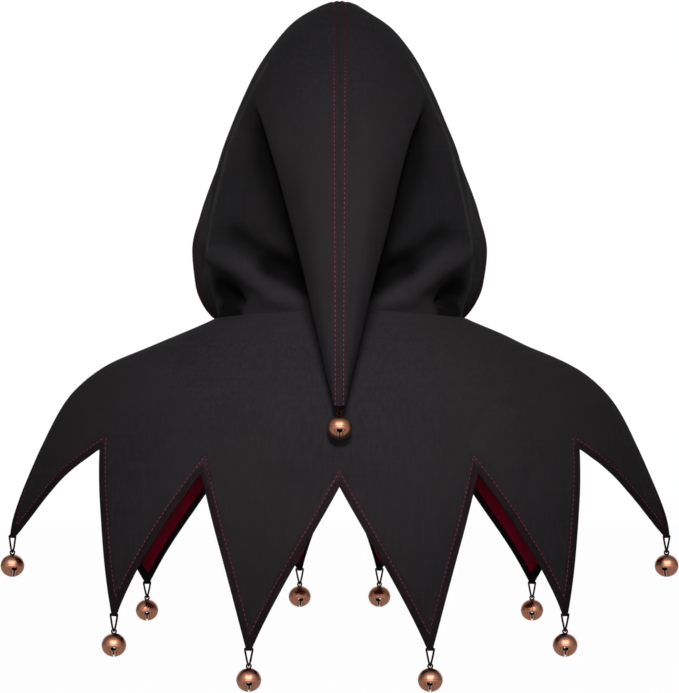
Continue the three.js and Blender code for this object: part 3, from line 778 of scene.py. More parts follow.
def tail_surface(at, turn):
    """The tail's half at +X: turn runs from 0 on the outer seam, past the side fold, to pi on the inner seam.
    The middle of both seams moves along half their distance by cos(turn), x is half the width by sin(turn),
    and the side fold lies forward by the bow and down by the sag."""
    outer_y, outer_z = TAIL["outer_y"](at), TAIL["outer_z"](at)
    inner_y, inner_z = TAIL["inner_y"](at), TAIL["inner_z"](at)
    sine, cosine = np.sin(turn), np.cos(turn)
    y = (outer_y + inner_y) / 2 + (outer_y - inner_y) / 2 * cosine - TAIL["bow"](at) * sine * sine
    z = (outer_z + inner_z) / 2 + (outer_z - inner_z) / 2 * cosine - TAIL["sag"](at) * sine * sine
    return xyz(TAIL["half_width"](at) * sine, y, z)


def round_tail(share):
    """Turn round the tail for a share of the way from its outer to its inner seam. Past the side fold it
    slows to a stop, by t + t^2 - t^3, so that the cloth under the tail goes over into the nape without a
    crease."""
    past = np.maximum(2 * share - 1, 0)
    return np.pi * (share + (past**2 - past**3) / 2)


def along_nape(at):
    """Place on the back seam below the tail: it starts from a stop and keeps pace from NAPE_START on, by
    2 t^2 - t^3."""
    t = np.clip((at - TAIL_FOOT) / (NAPE_START - TAIL_FOOT), 0, 1)
    return np.where(at < NAPE_START, TAIL_FOOT + (NAPE_START - TAIL_FOOT) * (2 * t**2 - t**3), at)


def fold_heights(points, folds):
    """How far the folds push the cloth in or out: each is a bell curve of the distance from its line, seen
    from behind. Its width goes over from one side of the line to the other by the sine of the angle between
    the line and the way to the point; the side away from the middle is to the left of the line's run."""
    x, z = points[..., 0], points[..., 2]
    height = np.zeros(x.shape)
    for line, rise, near_width, far_width in folds.values():
        nearest = np.full(x.shape, np.inf)
        left = np.zeros(x.shape)
        for (from_x, from_z), (to_x, to_z) in zip(line[:-1], line[1:]):
            run_x, run_z = to_x - from_x, to_z - from_z
            length = np.hypot(run_x, run_z)
            t = np.clip(((x - from_x) * run_x + (z - from_z) * run_z) / length**2, 0, 1)
            off_x, off_z = x - from_x - run_x * t, z - from_z - run_z * t
            apart = np.maximum(np.hypot(off_x, off_z), 1e-6)
            left = np.where(apart < nearest, (run_x * off_z - run_z * off_x) / (length * apart), left)
            nearest = np.minimum(apart, nearest)
        height = height + rise * bump(nearest, mix(near_width, far_width, (1 + left) / 2))
    return height


def hood_surface(at, across, tailed):
    """The hood's half at +X. across runs from the rim (0) past the side (0.5) to the back (1), in two cubics
    that join smoothly at the side. The folds then push it along the level direction away from the middle."""
    rim = xyz(HOOD["rim_x"](at), HOOD["rim_y"](at), HOOD["rim_z"](at))
    side = xyz(HOOD["side_x"](at), HOOD["side_y"](at), HOOD["side_z"](at))
    nape = np.where(at < TAIL_FOOT, at, along_nape(at))
    seam = xyz(0, HOOD["back_y"](nape), HOOD["back_z"](nape))
    turn = round_tail(np.minimum(at / TAIL_FOOT, 1))
    above = (at < TAIL_FOOT)[..., None]
    back = np.where(above, tail_surface(0.0, turn), seam) if tailed else seam

    level = np.array([0.0, 1.0, 1.0])
    run = unit((seam - rim) * level)
    closed = ease(RIM_CORNER, FRONT_SEAM, at)[..., None]
    front_round = mix(FRONT_SLACK, 1.0, closed)
    rim_tangent = mix(side - rim, side * (ROUND, 0, 0), closed)
    front_tangent = run * ROUND * (side - rim)[..., 1:2] * front_round
    back_tangent = run * ROUND * (back - side)[..., 1:2]
    seam_tangent = (back - side) * (ROUND, 0, 0)
    onward = tail_surface(TAIL_NEXT, turn) - back if tailed else np.broadcast_to(DOME_SLOPE, back.shape)
    below = ease(*(ROOT_LEAN if tailed else LINING_LEAN), at / TAIL_FOOT)
    onward = unit(onward) * DOME_SLACK * np.linalg.norm(side - back, axis=-1, keepdims=True)
    seam_tangent = np.where(above, mix(seam_tangent, onward, 1 - below[..., None]), seam_tangent)

    share = across[..., None]
    front = hermite(rim, rim_tangent, side, front_tangent, share * 2)
    rear = hermite(side, back_tangent, back, seam_tangent, share * 2 - 1)
    points = np.where(share < 0.5, front, rear)
    outward = unit(points * (1.0, 1.0, 0.0))
    behind = ease(*FOLDS_Y, points[..., 1])
    at_root = ease(*(ROOT_FADE if tailed else LINING_ROOT_FADE), across)
    shown = behind * ease(*FOLDS_Z, points[..., 2])
    shown = shown * (1 - at_root * (1 - ease(ROOT_FADE_ABOVE, TAIL_FOOT, at)))
    height = fold_heights(points, HOOD_FOLDS) * shown
    if not tailed:
        height = height + fold_heights(points, LINING_FOLDS) * behind
    return points + outward * height[..., None]


def hood_sheet(tailed):
    """Points of the hood's half at +X, the grid of their numbers (-1 where there is none) and each point's
    place on the flat cloth. Rows run from the rim to the back, and the upper ones on into the tail."""
    ring = np.linspace(0, 1, RING_ROWS + 1) ** RING_CLOSENESS
    at = np.concatenate([TAIL_FOOT * ring, np.linspace(TAIL_FOOT, 1, NAPE_ROWS + 1)[1:]])
    columns = RIM_TO_BACK_STEPS + 1
    sheet = np.full((len(at), columns + (TAIL_STEPS if tailed else 0), 3), np.nan)
    sheet[:, :columns] = hood_surface(at[:, None], np.linspace(0, 1, columns)[None], tailed)
    if tailed:
        along = np.linspace(0, 1, TAIL_STEPS + 1)[None, 1:]
        sheet[: RING_ROWS + 1, columns:] = tail_surface(along, round_tail(ring[:, None]))
    sheet[..., 0] = np.maximum(sheet[..., 0], 0)
    there = ~np.isnan(sheet[..., 0])
    numbers = np.where(there, np.cumsum(there).reshape(there.shape) - 1, -1)
    return sheet, numbers, flat_places(sheet)


def row_crossing(sheet, measure, level):
    """For each column, the place where the measure first passes the level on the way down its rows, by
    straight interpolation between the two rows. level may differ from column to column."""
    row = np.clip((measure >= level).argmax(0), 1, None)
    column = np.arange(sheet.shape[1])
    low, high = measure[row - 1, column], measure[row, column]
    share = np.clip((level - low) / np.maximum(high - low, 1e-9), 0, 1)[:, None]
    return mix(sheet[row - 1, column], sheet[row, column], share)


def line_on(points, line):
    """Close places along a line given in x and z, each moved to the nearest of the points as seen from
    behind."""
    places = resampled(np.array(line, float), LINE_STEP)
    apart = np.hypot(points[None, :, 0] - places[:, None, 0], points[None, :, 2] - places[:, None, 1])
    return points[apart.argmin(1)]


def hood_drift(points, sign):
    """Unevenness of the hood's cloth, which fades out towards the centre seam."""
    return unevenness(points * (sign, 1, 1), HOOD_UNEVEN) * ease(*SEAM_CALM, points[:, 0])


def tail_dent(points):
    """Depth of the dent in one side of the tail: a bell curve across it by one along it."""
    across = bump(points[:, 0] - TAIL_DENT["x"], TAIL_DENT["half_width"])
    upright = bump(points[:, 2] - TAIL_DENT["z"], TAIL_DENT["half_height"])
    return TAIL_DENT["depth"] * across * upright * ease(*TAIL_DENT["from_y"], points[:, 1])


def hood_half(side, sign):
    """One black hood panel with its half of the tail, its lining and its stitches."""
    mirror = np.array([sign, 1, 1])
    columns = RIM_TO_BACK_STEPS + 1
    ring = RING_ROWS + 1
    sheet, numbers, flat = hood_sheet(True)
    there = numbers >= 0
    points = sheet[there]
    faces = grid_faces(numbers)
    normals = normals_of(points, faces)
    drift = hood_drift(points, sign)
    if sign < 0:
        drift = drift - tail_dent(points)
    points = points + normals * drift[:, None]
    moved = np.full_like(sheet, np.nan)
    moved[there] = points
    out = np.full_like(sheet, np.nan)
    out[there] = normals

    # The row beside the centre seam, and the row along the rim
    to_tip = np.clip((np.arange(sheet.shape[1]) - RIM_TO_BACK_STEPS) / TAIL_STEPS, 0, 1)
    inset = mix(SEAM_ROW, SEAM_ROW_AT_TIP, to_tip)
    from_seam = moved[:ring, :, 0]
    seam_path = row_crossing(moved[:ring], from_seam, inset)
    seam_out = unit(row_crossing(out[:ring], from_seam, inset))
    body = moved[:, :columns].transpose(1, 0, 2)
    body_out = out[:, :columns].transpose(1, 0, 2)
    from_rim = lengths_down(body)
    open_rim = body[0, :, 0] > RIM_INSET
    rim_path = row_crossing(body, from_rim, RIM_INSET)[open_rim]
    rim_out = unit(row_crossing(body_out, from_rim, RIM_INSET)[open_rim])

    # The wall, with relief beside its sewing
    to_seam_row = distance_to(points, resampled(seam_path, LINE_STEP))
    to_rim_row = distance_to(points, resampled(rim_path, LINE_STEP))
    beside = np.minimum(to_seam_row, to_rim_row)
    to_rim = distance_to(points, resampled(body[0], LINE_STEP))
    upper = np.zeros(sheet.shape[:2])
    upper[: RING_ROWS // 3] = 1
    relief = (
        ridge(beside, *HOOD_RELIEF["row"])
        + ridge(beside, *HOOD_RELIEF["swell"])
        + ridge(points[:, 0], *HOOD_RELIEF["seam"]) * upper[there]
        + ridge(to_rim, *HOOD_RELIEF["rim"])
    )
    outer = points + normals * (CLOTH / 2 + relief)[:, None]
    inner = points - normals * (CLOTH / 2)
    wall_points, wall_faces = closed_wall(outer, inner, faces)

    # Painted shade in the folds and along the tail's sides, a painted highlight on the ridge and the warm rim
    on_body = np.zeros(sheet.shape[:2], bool)
    on_body[:, :columns] = True
    folded = np.clip(-fold_heights(points, HOOD_FOLDS) / HOLLOW_DEPTH, 0, 1) * ease(*HOLLOWS_Y, points[:, 1])
    painted_shade = np.clip(folded + fold_heights(points, DEEP_LINES), 0, 1)
    out_on_tail = (moved[..., 0] / np.maximum(np.nanmax(moved[..., 0], axis=0), 1.0))[there]
    lower_tail = 1 - ease(*TAIL_SHADE_FADE, points[:, 2])
    tail_shade = TAIL_SHADE * ease(*TAIL_SHADE_FROM, out_on_tail) * lower_tail
    ridge_line = line_on(points[points[:, 1] > RIDGE_BEHIND], SIDE_RIDGE)
    values = {
        "stitching": bump(beside, STITCH_TINT),
        "painted_shade": np.where(on_body[there], painted_shade, tail_shade),
        "painted_highlight": bump(distance_to(points, ridge_line), RIDGE_WIDTH),
        "rim_warmth": 1 - ease(*RIM_WARMTH, to_rim),
    }
    values = {key: np.tile(some, 2) for key, some in values.items()}
    panel = make_piece(
        f"hood_panel_{side}", wall_points * mirror, turned_out(wall_faces, sign), BLACK_CLOTH, "black_cloth",
        [f"hood_{side}"], np.tile(flat[there], (2, 1)), values,
    )
    sharp_edges(panel, SHARP_CLOTH)

    thread_points, thread_faces = joined([sewn(seam_path, seam_out), sewn(rim_path, rim_out)])
    thread = make_piece(
        f"hood_stitches_{side}", thread_points * mirror, turned_out(thread_faces, sign), CRIMSON_THREAD,
        "crimson_lining",
    )

    soft_sheet, soft_numbers, soft_flat = hood_sheet(False)
    soft = soft_sheet.reshape(-1, 3)
    soft_faces = grid_faces(soft_numbers)
    soft_out = normals_of(soft, soft_faces)
    soft = soft + soft_out * (hood_drift(soft, sign) - LINING_DEPTH)[:, None]
    soft_points, soft_faces = lining_wall(soft, soft_out, soft_faces)
    lining = make_piece(
        f"hood_inside_{side}", soft_points * mirror, turned_out(soft_faces, sign), CRIMSON_LINING,
        "crimson_lining", [f"hood_lining_{side}"], np.tile(soft_flat.reshape(-1, 2), (2, 1)),
    )
    sharp_edges(lining, SHARP_CLOTH)
    return panel, lining, thread


# Cape


def cape_surface(angle, down):
    """The cape: angle in degrees round from the middle of the back towards +X, and how far down. It is an
    oval whose half width, depth and heights change with down; its height goes over from that of the sides to
    that of the back or front by the squared cosine. A side claw is turned about its own middle line towards
    its tip."""

    def oval(angle):
        sine, cosine = np.sin(np.radians(angle)), np.cos(np.radians(angle))
        back = cosine > 0
        depth = np.where(back, CAPE["back_y"](down), -CAPE["front_y"](down))
        middle_z = np.where(back, CAPE["back_z"](down), CAPE["front_z"](down))
        z = mix(CAPE["side_z"](down), middle_z, cosine**2)
        return xyz(CAPE["half_width"](down) * sine, depth * cosine, z)

    points = oval(angle)
    middle = oval(np.sign(angle) * CLAW["angle"])
    near = np.clip((down - CLAW["start"]) / (CLAW["reach"] - CLAW["start"]), 0, 1)
    in_claw = (np.abs(angle) > CLAW["from"]) & (np.abs(angle) <= SHOULDER_SEAM)
    turn = CLAW["turn"] * near**3 * np.sign(angle) * in_claw
    x, y, z = np.moveaxis(points - middle, -1, 0)
    sine, cosine = np.sin(turn), np.cos(turn)
    return middle + xyz(x * cosine - y * sine, x * sine + y * cosine, z)


def cape_frame(angle, down):
    """The cape's two directions at a place, per degree and per unit of down, from small steps, and its
    normal."""
    turn, step = 0.02, 0.0005
    round_it = (cape_surface(angle + turn, down) - cape_surface(angle - turn, down)) / (2 * turn)
    downward = (cape_surface(angle, down + step) - cape_surface(angle, down - step)) / (2 * step)
    return round_it, downward, unit(np.cross(round_it, downward))


def hem_stops(front):
    """The stops of one panel's hem from end to end. A tip is two stops, one at each end of its flat."""
    if front:
        half = [stop for stop in HEM if stop["angle"] >= SHOULDER_SEAM]
    else:
        half = [stop for stop in HEM if stop["angle"] <= SHOULDER_SEAM]
    whole = 360.0 if front else 0.0
    other = [{**stop, "angle": whole - stop["angle"]} for stop in half if stop["angle"] not in (0.0, 180.0)]
    stops = []
    for stop in sorted(half + other, key=lambda stop: stop["angle"]):
        if stop["kind"] == "tip":
            ends = cape_surface(stop["angle"] + np.array([-0.5, 0.5]), np.full(2, stop["reach"]))
            spread = TIP_WIDTH / 2 / np.linalg.norm(ends[1] - ends[0])
            stops += [{**stop, "angle": stop["angle"] - spread}, {**stop, "angle": stop["angle"] + spread}]
        else:
            stops.append(stop)
    return stops


def hem_edges(stops):
    """Each stretch of the hem between two stops as rows of (angle, reach): straight in both, but bowed
    towards its tip by its bow."""
    edges = []
    for one, other in zip(stops[:-1], stops[1:]):
        flat = one["kind"] == "tip" and other["kind"] == "tip"
        bow = 0.0 if flat else other.get("bow", 0.0) - one.get("bow", 0.0)
        part = np.linspace(0, 1, HEM_SAMPLES)
        angle = mix(one["angle"], other["angle"], part) + bow * 4 * part * (1 - part)
        reach = mix(one["reach"], other["reach"], part)
        along = lengths_along(cape_surface(angle, reach))
        steps = max(int(np.ceil(along[-1] / HEM_STEP)), 2 if flat else 4)
        places = np.linspace(0, along[-1], steps + 1)
        edges.append(np.stack([np.interp(places, along, angle), np.interp(places, along, reach)], -1))
    return edges


def hem_row(edges, inset):
    """A row on the cape at an even distance inside its hem, as (angle, down). Each stretch of the hem, apart
    from the flats of the tips, is moved inwards square to itself on the cloth and drawn out at both ends;
    neighbours are cut where they come closest, so that the row has sharp corners above the valleys and inside
    the tips."""
    longest_flat = TIP_WIDTH * 1.5
    nearest, farthest, drawn_steps = 0.05, 3.5, 60
    fineness = 8
    rows = []
    for edge in edges:
        angle, reach = edge[:, 0], edge[:, 1]
        on_cloth = cape_surface(angle, reach)
        if np.linalg.norm(on_cloth[-1] - on_cloth[0]) < longest_flat:
            continue
        round_it, downward, normal = cape_frame(angle, reach)
        tangent = unit(np.gradient(on_cloth, axis=0))
        inward = np.cross(normal, tangent)
        inward *= -np.sign((inward * downward).sum(-1, keepdims=True))
        # The inward step as degrees and down: the two directions, solved in the cloth's plane
        rr, rd, dd = (round_it**2).sum(-1), (round_it * downward).sum(-1), (downward**2).sum(-1)
        ri, di = (round_it * inward).sum(-1), (downward * inward).sum(-1)
        whole = rr * dd - rd * rd
        step = np.stack([(dd * ri - rd * di) / whole, (rr * di - rd * ri) / whole], -1) * inset
        row = edge + step
        before = row[0] + (row[0] - row[2]) * np.linspace(farthest, nearest, drawn_steps)[:, None]
        after = row[-1] + (row[-1] - row[-3]) * np.linspace(nearest, farthest, drawn_steps)[:, None]
        places = np.linspace(0, len(row) - 1, len(row) * fineness)
        inside = np.stack([np.interp(places, np.arange(len(row)), row[:, k]) for k in (0, 1)], -1)
        rows.append([before, inside, after])
    paths = [np.concatenate(row) for row in rows]
    first = [0] * len(rows)
    first[0] = len(rows[0][0])
    last = [len(path) for path in paths]
    last[-1] -= len(rows[-1][2])
    for k in range(len(paths) - 1):
        one, other = cape_surface(*paths[k].T), cape_surface(*paths[k + 1].T)
        apart = np.linalg.norm(one[:, None] - other[None], axis=-1)
        end, start = np.unravel_index(apart.argmin(), apart.shape)
        last[k], first[k + 1] = end + 1, start
    return np.concatenate([path[start:end] for path, start, end in zip(paths, first, last)])


CAPE_UNEVEN = 0.6

# The facing inside the hem: where it narrows in front, in degrees, its thickness and where that fades
FACING_NARROWS = (150, 158)
FACING_DEPTH = 1.9
FACING_END = (-1.0, 0.6)
FACING_AT_HEM = (0.0, 1.2)

# The lining starts this far below the neck and ends this far above the facing
LINING_TOP = 9.0
LINING_STOP = 1.2

# Relief beside the cape's sewing: height, place and width of each ridge or groove
CAPE_RELIEF = {
    "row": (-0.55, 0, 1.4),
    "swell": (0.3, 3.2, 1.9),
    "hem": (-0.4, 0, 0.8),
    "neck": (0.7, 2.5, 2.2),
    "ends": (-0.6, 0, 1.4),
}


def cape_side(name, front):
    """One panel of the cape with its hem, its facing, its lining and its stitches."""
    stops = hem_stops(front)
    edges = hem_edges(stops)
    hem = np.concatenate([edges[0][:1], *(edge[1:] for edge in edges)])
    angle, reach = hem[:, 0][None], hem[:, 1][None]
    downs = reach * (1 - (1 - np.linspace(0, 1, CAPE_ROWS + 1)) ** CAPE_CLOSENESS)[:, None]
    sheet = cape_surface(np.broadcast_to(angle, downs.shape), downs)
    faces = grid_faces(numbered(downs.shape))[:, ::-1]
    points = sheet.reshape(-1, 3)
    normals = normals_of(points, faces)
    points = points + normals * unevenness(points, CAPE_UNEVEN)[:, None]
    to_neck = lengths_down(sheet)
    flat = flat_places(sheet)
    flat[..., 0] -= flat[:, len(hem) // 2, 0][:, None]

    # The row of stitches, and the wall with relief beside its sewing
    row = hem_row(edges, HEM_INSET)
    row_points = cape_surface(*row.T)
    row_out = cape_frame(*row.T)[2]
    row_points = row_points + row_out * unevenness(row_points, CAPE_UNEVEN)[:, None]
    to_hem = distance_to(points, resampled(points.reshape(sheet.shape)[-1], LINE_STEP))
    to_row = distance_to(points, resampled(row_points, LINE_STEP))
    from_ends = np.minimum(flat[..., 0] - flat[:, :1, 0], flat[:, -1:, 0] - flat[..., 0]).ravel() / MM
    relief = (
        ridge(to_row, *CAPE_RELIEF["row"])
        + ridge(to_row, *CAPE_RELIEF["swell"])
        + ridge(to_hem, *CAPE_RELIEF["hem"])
        + ridge(to_neck.ravel(), *CAPE_RELIEF["neck"])
        + ridge(from_ends, *CAPE_RELIEF["ends"])
    )
    from_back = np.minimum(np.abs(hem[:, 0]), 360 - np.abs(hem[:, 0]))
    facing_width = mix(FACING, FACING_IN_FRONT, ease(*FACING_NARROWS, from_back))
    past_facing = to_hem - np.tile(facing_width, CAPE_ROWS + 1)
    facing = FACING_DEPTH * (1 - ease(*FACING_END, past_facing)) * ease(*FACING_AT_HEM, to_hem)
    outer = points + normals * (CLOTH / 2 + relief)[:, None]
    inner = points - normals * (CLOTH / 2 + facing)[:, None]
    tips = cape_tips(stops)
    wall_points, wall_faces = joined([closed_wall(outer, inner, faces), *(roll(tip) for tip in tips)])

    # On the flat cloth the small rolls lie by their x and z
    rolls = wall_points[2 * len(points) :]
    flat_points = np.concatenate([np.tile(flat.reshape(-1, 2), (2, 1)), rolls[:, [0, 2]] * MM])
    stitching = np.concatenate([np.tile(bump(to_row, STITCH_TINT), 2), np.zeros(len(rolls))])
    at_hem = 1 - ease(HEM_INSET - 1.0, HEM_INSET, to_hem)
    band = np.concatenate([np.tile(at_hem, 2), np.ones(len(rolls))])
    panel = make_piece(
        f"cape_panel_{name}", wall_points, wall_faces, BLACK_CLOTH, "black_cloth", [f"cape_{name}"],
        flat_points, {"stitching": stitching, "hem_band": band},
    )
    sharp_edges(panel, SHARP_CLOTH)
    thread = make_piece(
        f"cape_stitches_{name}", *sewn(row_points, row_out), CRIMSON_THREAD, "crimson_lining"
    )

    # The lining ends inside the facing, on each line from the neck where the hem comes that near
    near_hem = facing_width + LINING_STOP
    ends = row_crossing(np.stack([downs, downs], -1), -to_hem.reshape(downs.shape), -near_hem)[:, 0]
    keep = np.unique(np.concatenate([np.arange(0, len(hem), 2), [len(hem) - 1]]))
    top = LINING_TOP / np.maximum(to_neck[-1], 1)
    share = mix(top[None, keep], 1.0, np.linspace(0, 1, CAPE_LINING_ROWS + 1)[:, None])
    soft_sheet = cape_surface(np.broadcast_to(angle[:, keep], share.shape), ends[None, keep] * share)
    soft_faces = grid_faces(numbered(share.shape))[:, ::-1]
    soft = soft_sheet.reshape(-1, 3)
    soft_out = normals_of(soft, soft_faces)
    soft = soft + soft_out * (unevenness(soft, CAPE_UNEVEN) - LINING_DEPTH)[:, None]
    soft_points, soft_faces = lining_wall(soft, soft_out, soft_faces)
    lining = make_piece(
        f"cape_inside_{name}", soft_points, soft_faces, CRIMSON_LINING, "crimson_lining",
        [f"cape_lining_{name}"], np.tile(flat_places(soft_sheet).reshape(-1, 2), (2, 1)),
    )
    sharp_edges(lining, SHARP_CLOTH)
    return panel, lining, thread, tips


def cape_tips(stops):
    """Name, middle and level direction of each tip, from the two ends of its flat."""
    ends = [stop for stop in stops if stop["kind"] == "tip"]
    tips = []
    for one, other in zip(ends[::2], ends[1::2]):
        start, end = cape_surface(np.array([one["angle"], other["angle"]]), np.full(2, one["reach"]))
        middle = (start + end) / 2
        across = unit((end - start) * (1.0, 1.0, 0.0))
        side = "left" if middle[0] > 0 else "right"
        tips.append({"name": f"{one['name']}_{side}", "middle": middle, "across": across})
    return tips


# Wires, rolls and bells


def tube(path, radius, sides):
    """A round tube along a closed path: each ring is radius * (cos * one + sin * other), with both directions
    square to the path. The first is the part of a fixed slanting direction that is square to the path."""
    tangent = unit(np.roll(path, -1, 0) - np.roll(path, 1, 0))
    slant = unit(np.array([1.0, 1.0, 1.0]))
    one = unit(slant - tangent * (tangent @ slant)[:, None])
    other = np.cross(tangent, one)
    turn = np.linspace(0, 2 * np.pi, sides, endpoint=False)[None, :, None]
    points = path[:, None] + radius * (np.cos(turn) * one[:, None] + np.sin(turn) * other[:, None])
    return points.reshape(-1, 3), looped_faces(points.shape[:2])[:, ::-1]


def roll(tip):
    """The end of a point rolled round its link's bar: a short tube with a bore, rounded at both mouths. Its
    section is carried from the outside over one mouth, through the bore and over the other mouth."""
    half = ROLL_LENGTH / 2
    thick = (ROLL_RADIUS - ROLL_BORE) / 2
    middle = (ROLL_RADIUS + ROLL_BORE) / 2
    turn = np.linspace(0, 2 * np.pi, 24, endpoint=False)
    lengthwise = (half - thick) * np.sign(np.cos(turn)) + thick * np.cos(turn)
    radius = middle + thick * np.sin(turn)
    round_it = np.linspace(0, 2 * np.pi, 20, endpoint=False)
    up = np.array([0.0, 0.0, 1.0])
    depth = np.cross(up, tip["across"])
    ring = np.cos(round_it)[:, None, None] * up + np.sin(round_it)[:, None, None] * depth
    points = tip["middle"] + lengthwise[None, :, None] * tip["across"] + radius[None, :, None] * ring
    return points.reshape(-1, 3), looped_faces(points.shape[:2])


def smooth_loop(corners, steps):
    """A closed smooth curve through the corners: between two of them, the cubic whose slopes are half the way
    from the corner before to the corner after."""
    slopes = (np.roll(corners, -1, 0) - np.roll(corners, 1, 0)) / 2
    t = np.linspace(0, 1, steps, endpoint=False)[None, :, None]
    ends, end_slopes = np.roll(corners, -1, 0), np.roll(slopes, -1, 0)
    return hermite(corners[:, None], slopes[:, None], ends[:, None], end_slopes[:, None], t).reshape(-1, 3)


EYE_Z = BELL_HALF_HEIGHT + EYE_RADIUS - EYE_SINK
LINK_FOOT = EYE_Z + EYE_RADIUS - EYE_WIRE - LINK_WIRE - 0.1
PELLET_DROP = BELL_HALF_HEIGHT - BELL_WALL - PELLET_RADIUS - PELLET_LIFT


def link_loop(top, across, foot, link):
    """The path of a link: its bar in the cloth, two legs that close in and cross, and the foot that passes
    through the bell's eye from front to back."""
    half_width, shoulder = link["half_width"], link["shoulder"]
    straddle = EYE_WIRE + LINK_WIRE + SEAM_GAP
    bar_end = half_width * LINK_BAR_SHARE
    # sideways, depth, rise, and whether from the foot (1) or the top (0)
    corners = np.array(
        [
            [bar_end, 0, 0, 0],
            [half_width, 0, -shoulder, 0],
            [LINK_NECK, straddle, LINK_CROSSING, 1],
            [0, straddle, LINK_BEND, 1],
            [0, 0, 0, 1],
            [0, -straddle, LINK_BEND, 1],
            [-LINK_NECK, -straddle, LINK_CROSSING, 1],
            [-half_width, 0, -shoulder, 0],
            [-bar_end, 0, 0, 0],
            [0, 0, 0, 0],
        ]
    )
    base = np.where(corners[:, 3:] > 0, foot, top)
    places = base + corners[:, :1] * across + corners[:, 1:3] @ np.array([[0, 1, 0], [0, 0, 1]])
    return smooth_loop(places, 9)


def lathe(profile, sides):
    """A profile of (radius, height) turned about the upright axis."""
    turn = np.linspace(0, 2 * np.pi, sides, endpoint=False)[:, None]
    radius, height = profile[None, :, 0], profile[None, :, 1]
    points = xyz(radius * np.cos(turn), radius * np.sin(turn), height)
    numbers = numbered(points.shape[:2])
    return points.reshape(-1, 3), grid_faces(np.concatenate([numbers, numbers[:1]]))


# The bell's slot, lip and crimp, the shade inside it and how finely it is divided
SLOT_KEYHOLE = 2.5
SLOT_SLIT = 0.65
SLOT_NECK = -3.3
SLOT_BAR = -2.2
LIP_HEIGHT = 0.3
LIP_WIDTH = 0.9
CRIMP_LINE = 1.7
CRIMP_DEPTH = 0.1
CRIMP_WIDTH = 0.3
INSIDE_SHADE = 0.9
BELL_SIDES = 48


def bell_shape():
    """Points, faces and recess value of a bell about its own middle: an upper shell turned from a profile
    with a crimp round its middle, two petals below that leave a slot between them, with a keyhole at its end
    towards +Y, and the eye on top."""
    wall = BELL_WALL
    # Upper shell, from its top to the slot's top edge and back up inside
    height = np.sin(np.linspace(np.pi / 2, -np.arcsin(SLOT_TOP / BELL_HALF_HEIGHT), 56))
    outside = np.stack([BELL_RADIUS * np.sqrt(1 - height**2), BELL_HALF_HEIGHT * height], -1)
    outside[0, 0] = 0
    crimp = -CRIMP_DEPTH * bump(outside[:, 1] - CRIMP_LINE, CRIMP_WIDTH)
    shrink = np.array([(BELL_RADIUS - wall) / BELL_RADIUS, (BELL_HALF_HEIGHT - wall) / BELL_HALF_HEIGHT])
    inside = outside[::-2] * shrink
    outside = outside + np.stack([crimp, 0 * crimp], -1)
    shell = lathe(np.concatenate([outside, inside]), BELL_SIDES)
    # The recess value paints shade into the crimp and, darker, all over the inside
    profile_recess = np.concatenate([np.clip(-crimp * 3, 0, 1), np.full(len(inside), INSIDE_SHADE)])
    shell_recess = np.tile(profile_recess, BELL_SIDES)

    # Petals, in slices across the bell from the slot's edge to the side: each slice is an arc under the bell
    turn = np.linspace(-1, 1, 81)[None]
    share = (np.linspace(0, 1, 25) ** 1.9)[:, None]
    edge_z = -BELL_HALF_HEIGHT * np.cos(turn * np.pi / 2)
    edge = mix(SLOT_SLIT, SLOT_KEYHOLE, ease(SLOT_NECK, SLOT_BAR, edge_z) * (turn > 0))
    widest = BELL_RADIUS * np.sqrt(1 - (SLOT_TOP / BELL_HALF_HEIGHT) ** 2)
    x = mix(edge, widest, share)
    scale = np.sqrt(np.maximum(1 - (x / BELL_RADIUS) ** 2, 0))
    limit = np.arccos(np.clip(SLOT_TOP / np.maximum(BELL_HALF_HEIGHT * scale, SLOT_TOP), 0, 1))
    y = BELL_RADIUS * scale * np.sin(turn * limit)
    petal = xyz(x, y, -BELL_HALF_HEIGHT * scale * np.cos(turn * limit))
    inner = petal * np.array([shrink[0], shrink[0], shrink[1]])
    inner[..., 0] = np.maximum(inner[..., 0], edge * (1 - share) + inner[..., 0] * share)
    from_edge = x - edge
    lip = LIP_HEIGHT * bump(from_edge, LIP_WIDTH)
    outer = petal * (1 + lip / BELL_RADIUS)[..., None]
    petal_faces = grid_faces(numbered(x.shape))[:, ::-1]
    petal_points, petal_faces = closed_wall(outer.reshape(-1, 3), inner.reshape(-1, 3), petal_faces)
    # Painted shade in a band beside the slot's edge, and a painted highlight on its lips below the bar
    below_bar = ease(SLOT_BAR + 0.6, SLOT_BAR, petal[..., 2])
    edge_shade_and_highlight = 0.5 * bump(from_edge - 1.9, 0.5) - 0.5 * bump(from_edge - 0.5, 0.5) * below_bar
    petal_recess = np.concatenate([edge_shade_and_highlight.ravel(), np.full(x.size, INSIDE_SHADE)])
    other_points = petal_points * (-1, 1, 1)

    ring = np.linspace(0, 2 * np.pi, 36, endpoint=False)
    eye_path = xyz(EYE_RADIUS * np.cos(ring), 0, EYE_Z + EYE_RADIUS * np.sin(ring))
    eye = tube(eye_path, EYE_WIRE, 12)
    eye_recess = np.ones(len(eye[0]))
    points, faces = joined([shell, (petal_points, petal_faces), (other_points, petal_faces[:, ::-1]), eye])
    recess = np.concatenate([shell_recess, petal_recess, petal_recess, eye_recess])
    return points, faces, recess


def pellet_shape():
    """Points and faces of a ball about its own middle."""
    rise = np.linspace(-np.pi / 2, np.pi / 2, 17)
    ball = np.stack([PELLET_RADIUS * np.cos(rise), PELLET_RADIUS * np.sin(rise)], -1)
    return lathe(ball[::-1], 24)


BELL_POINTS, BELL_FACES, BELL_RECESS = bell_shape()
PELLET_POINTS, PELLET_FACES = pellet_shape()


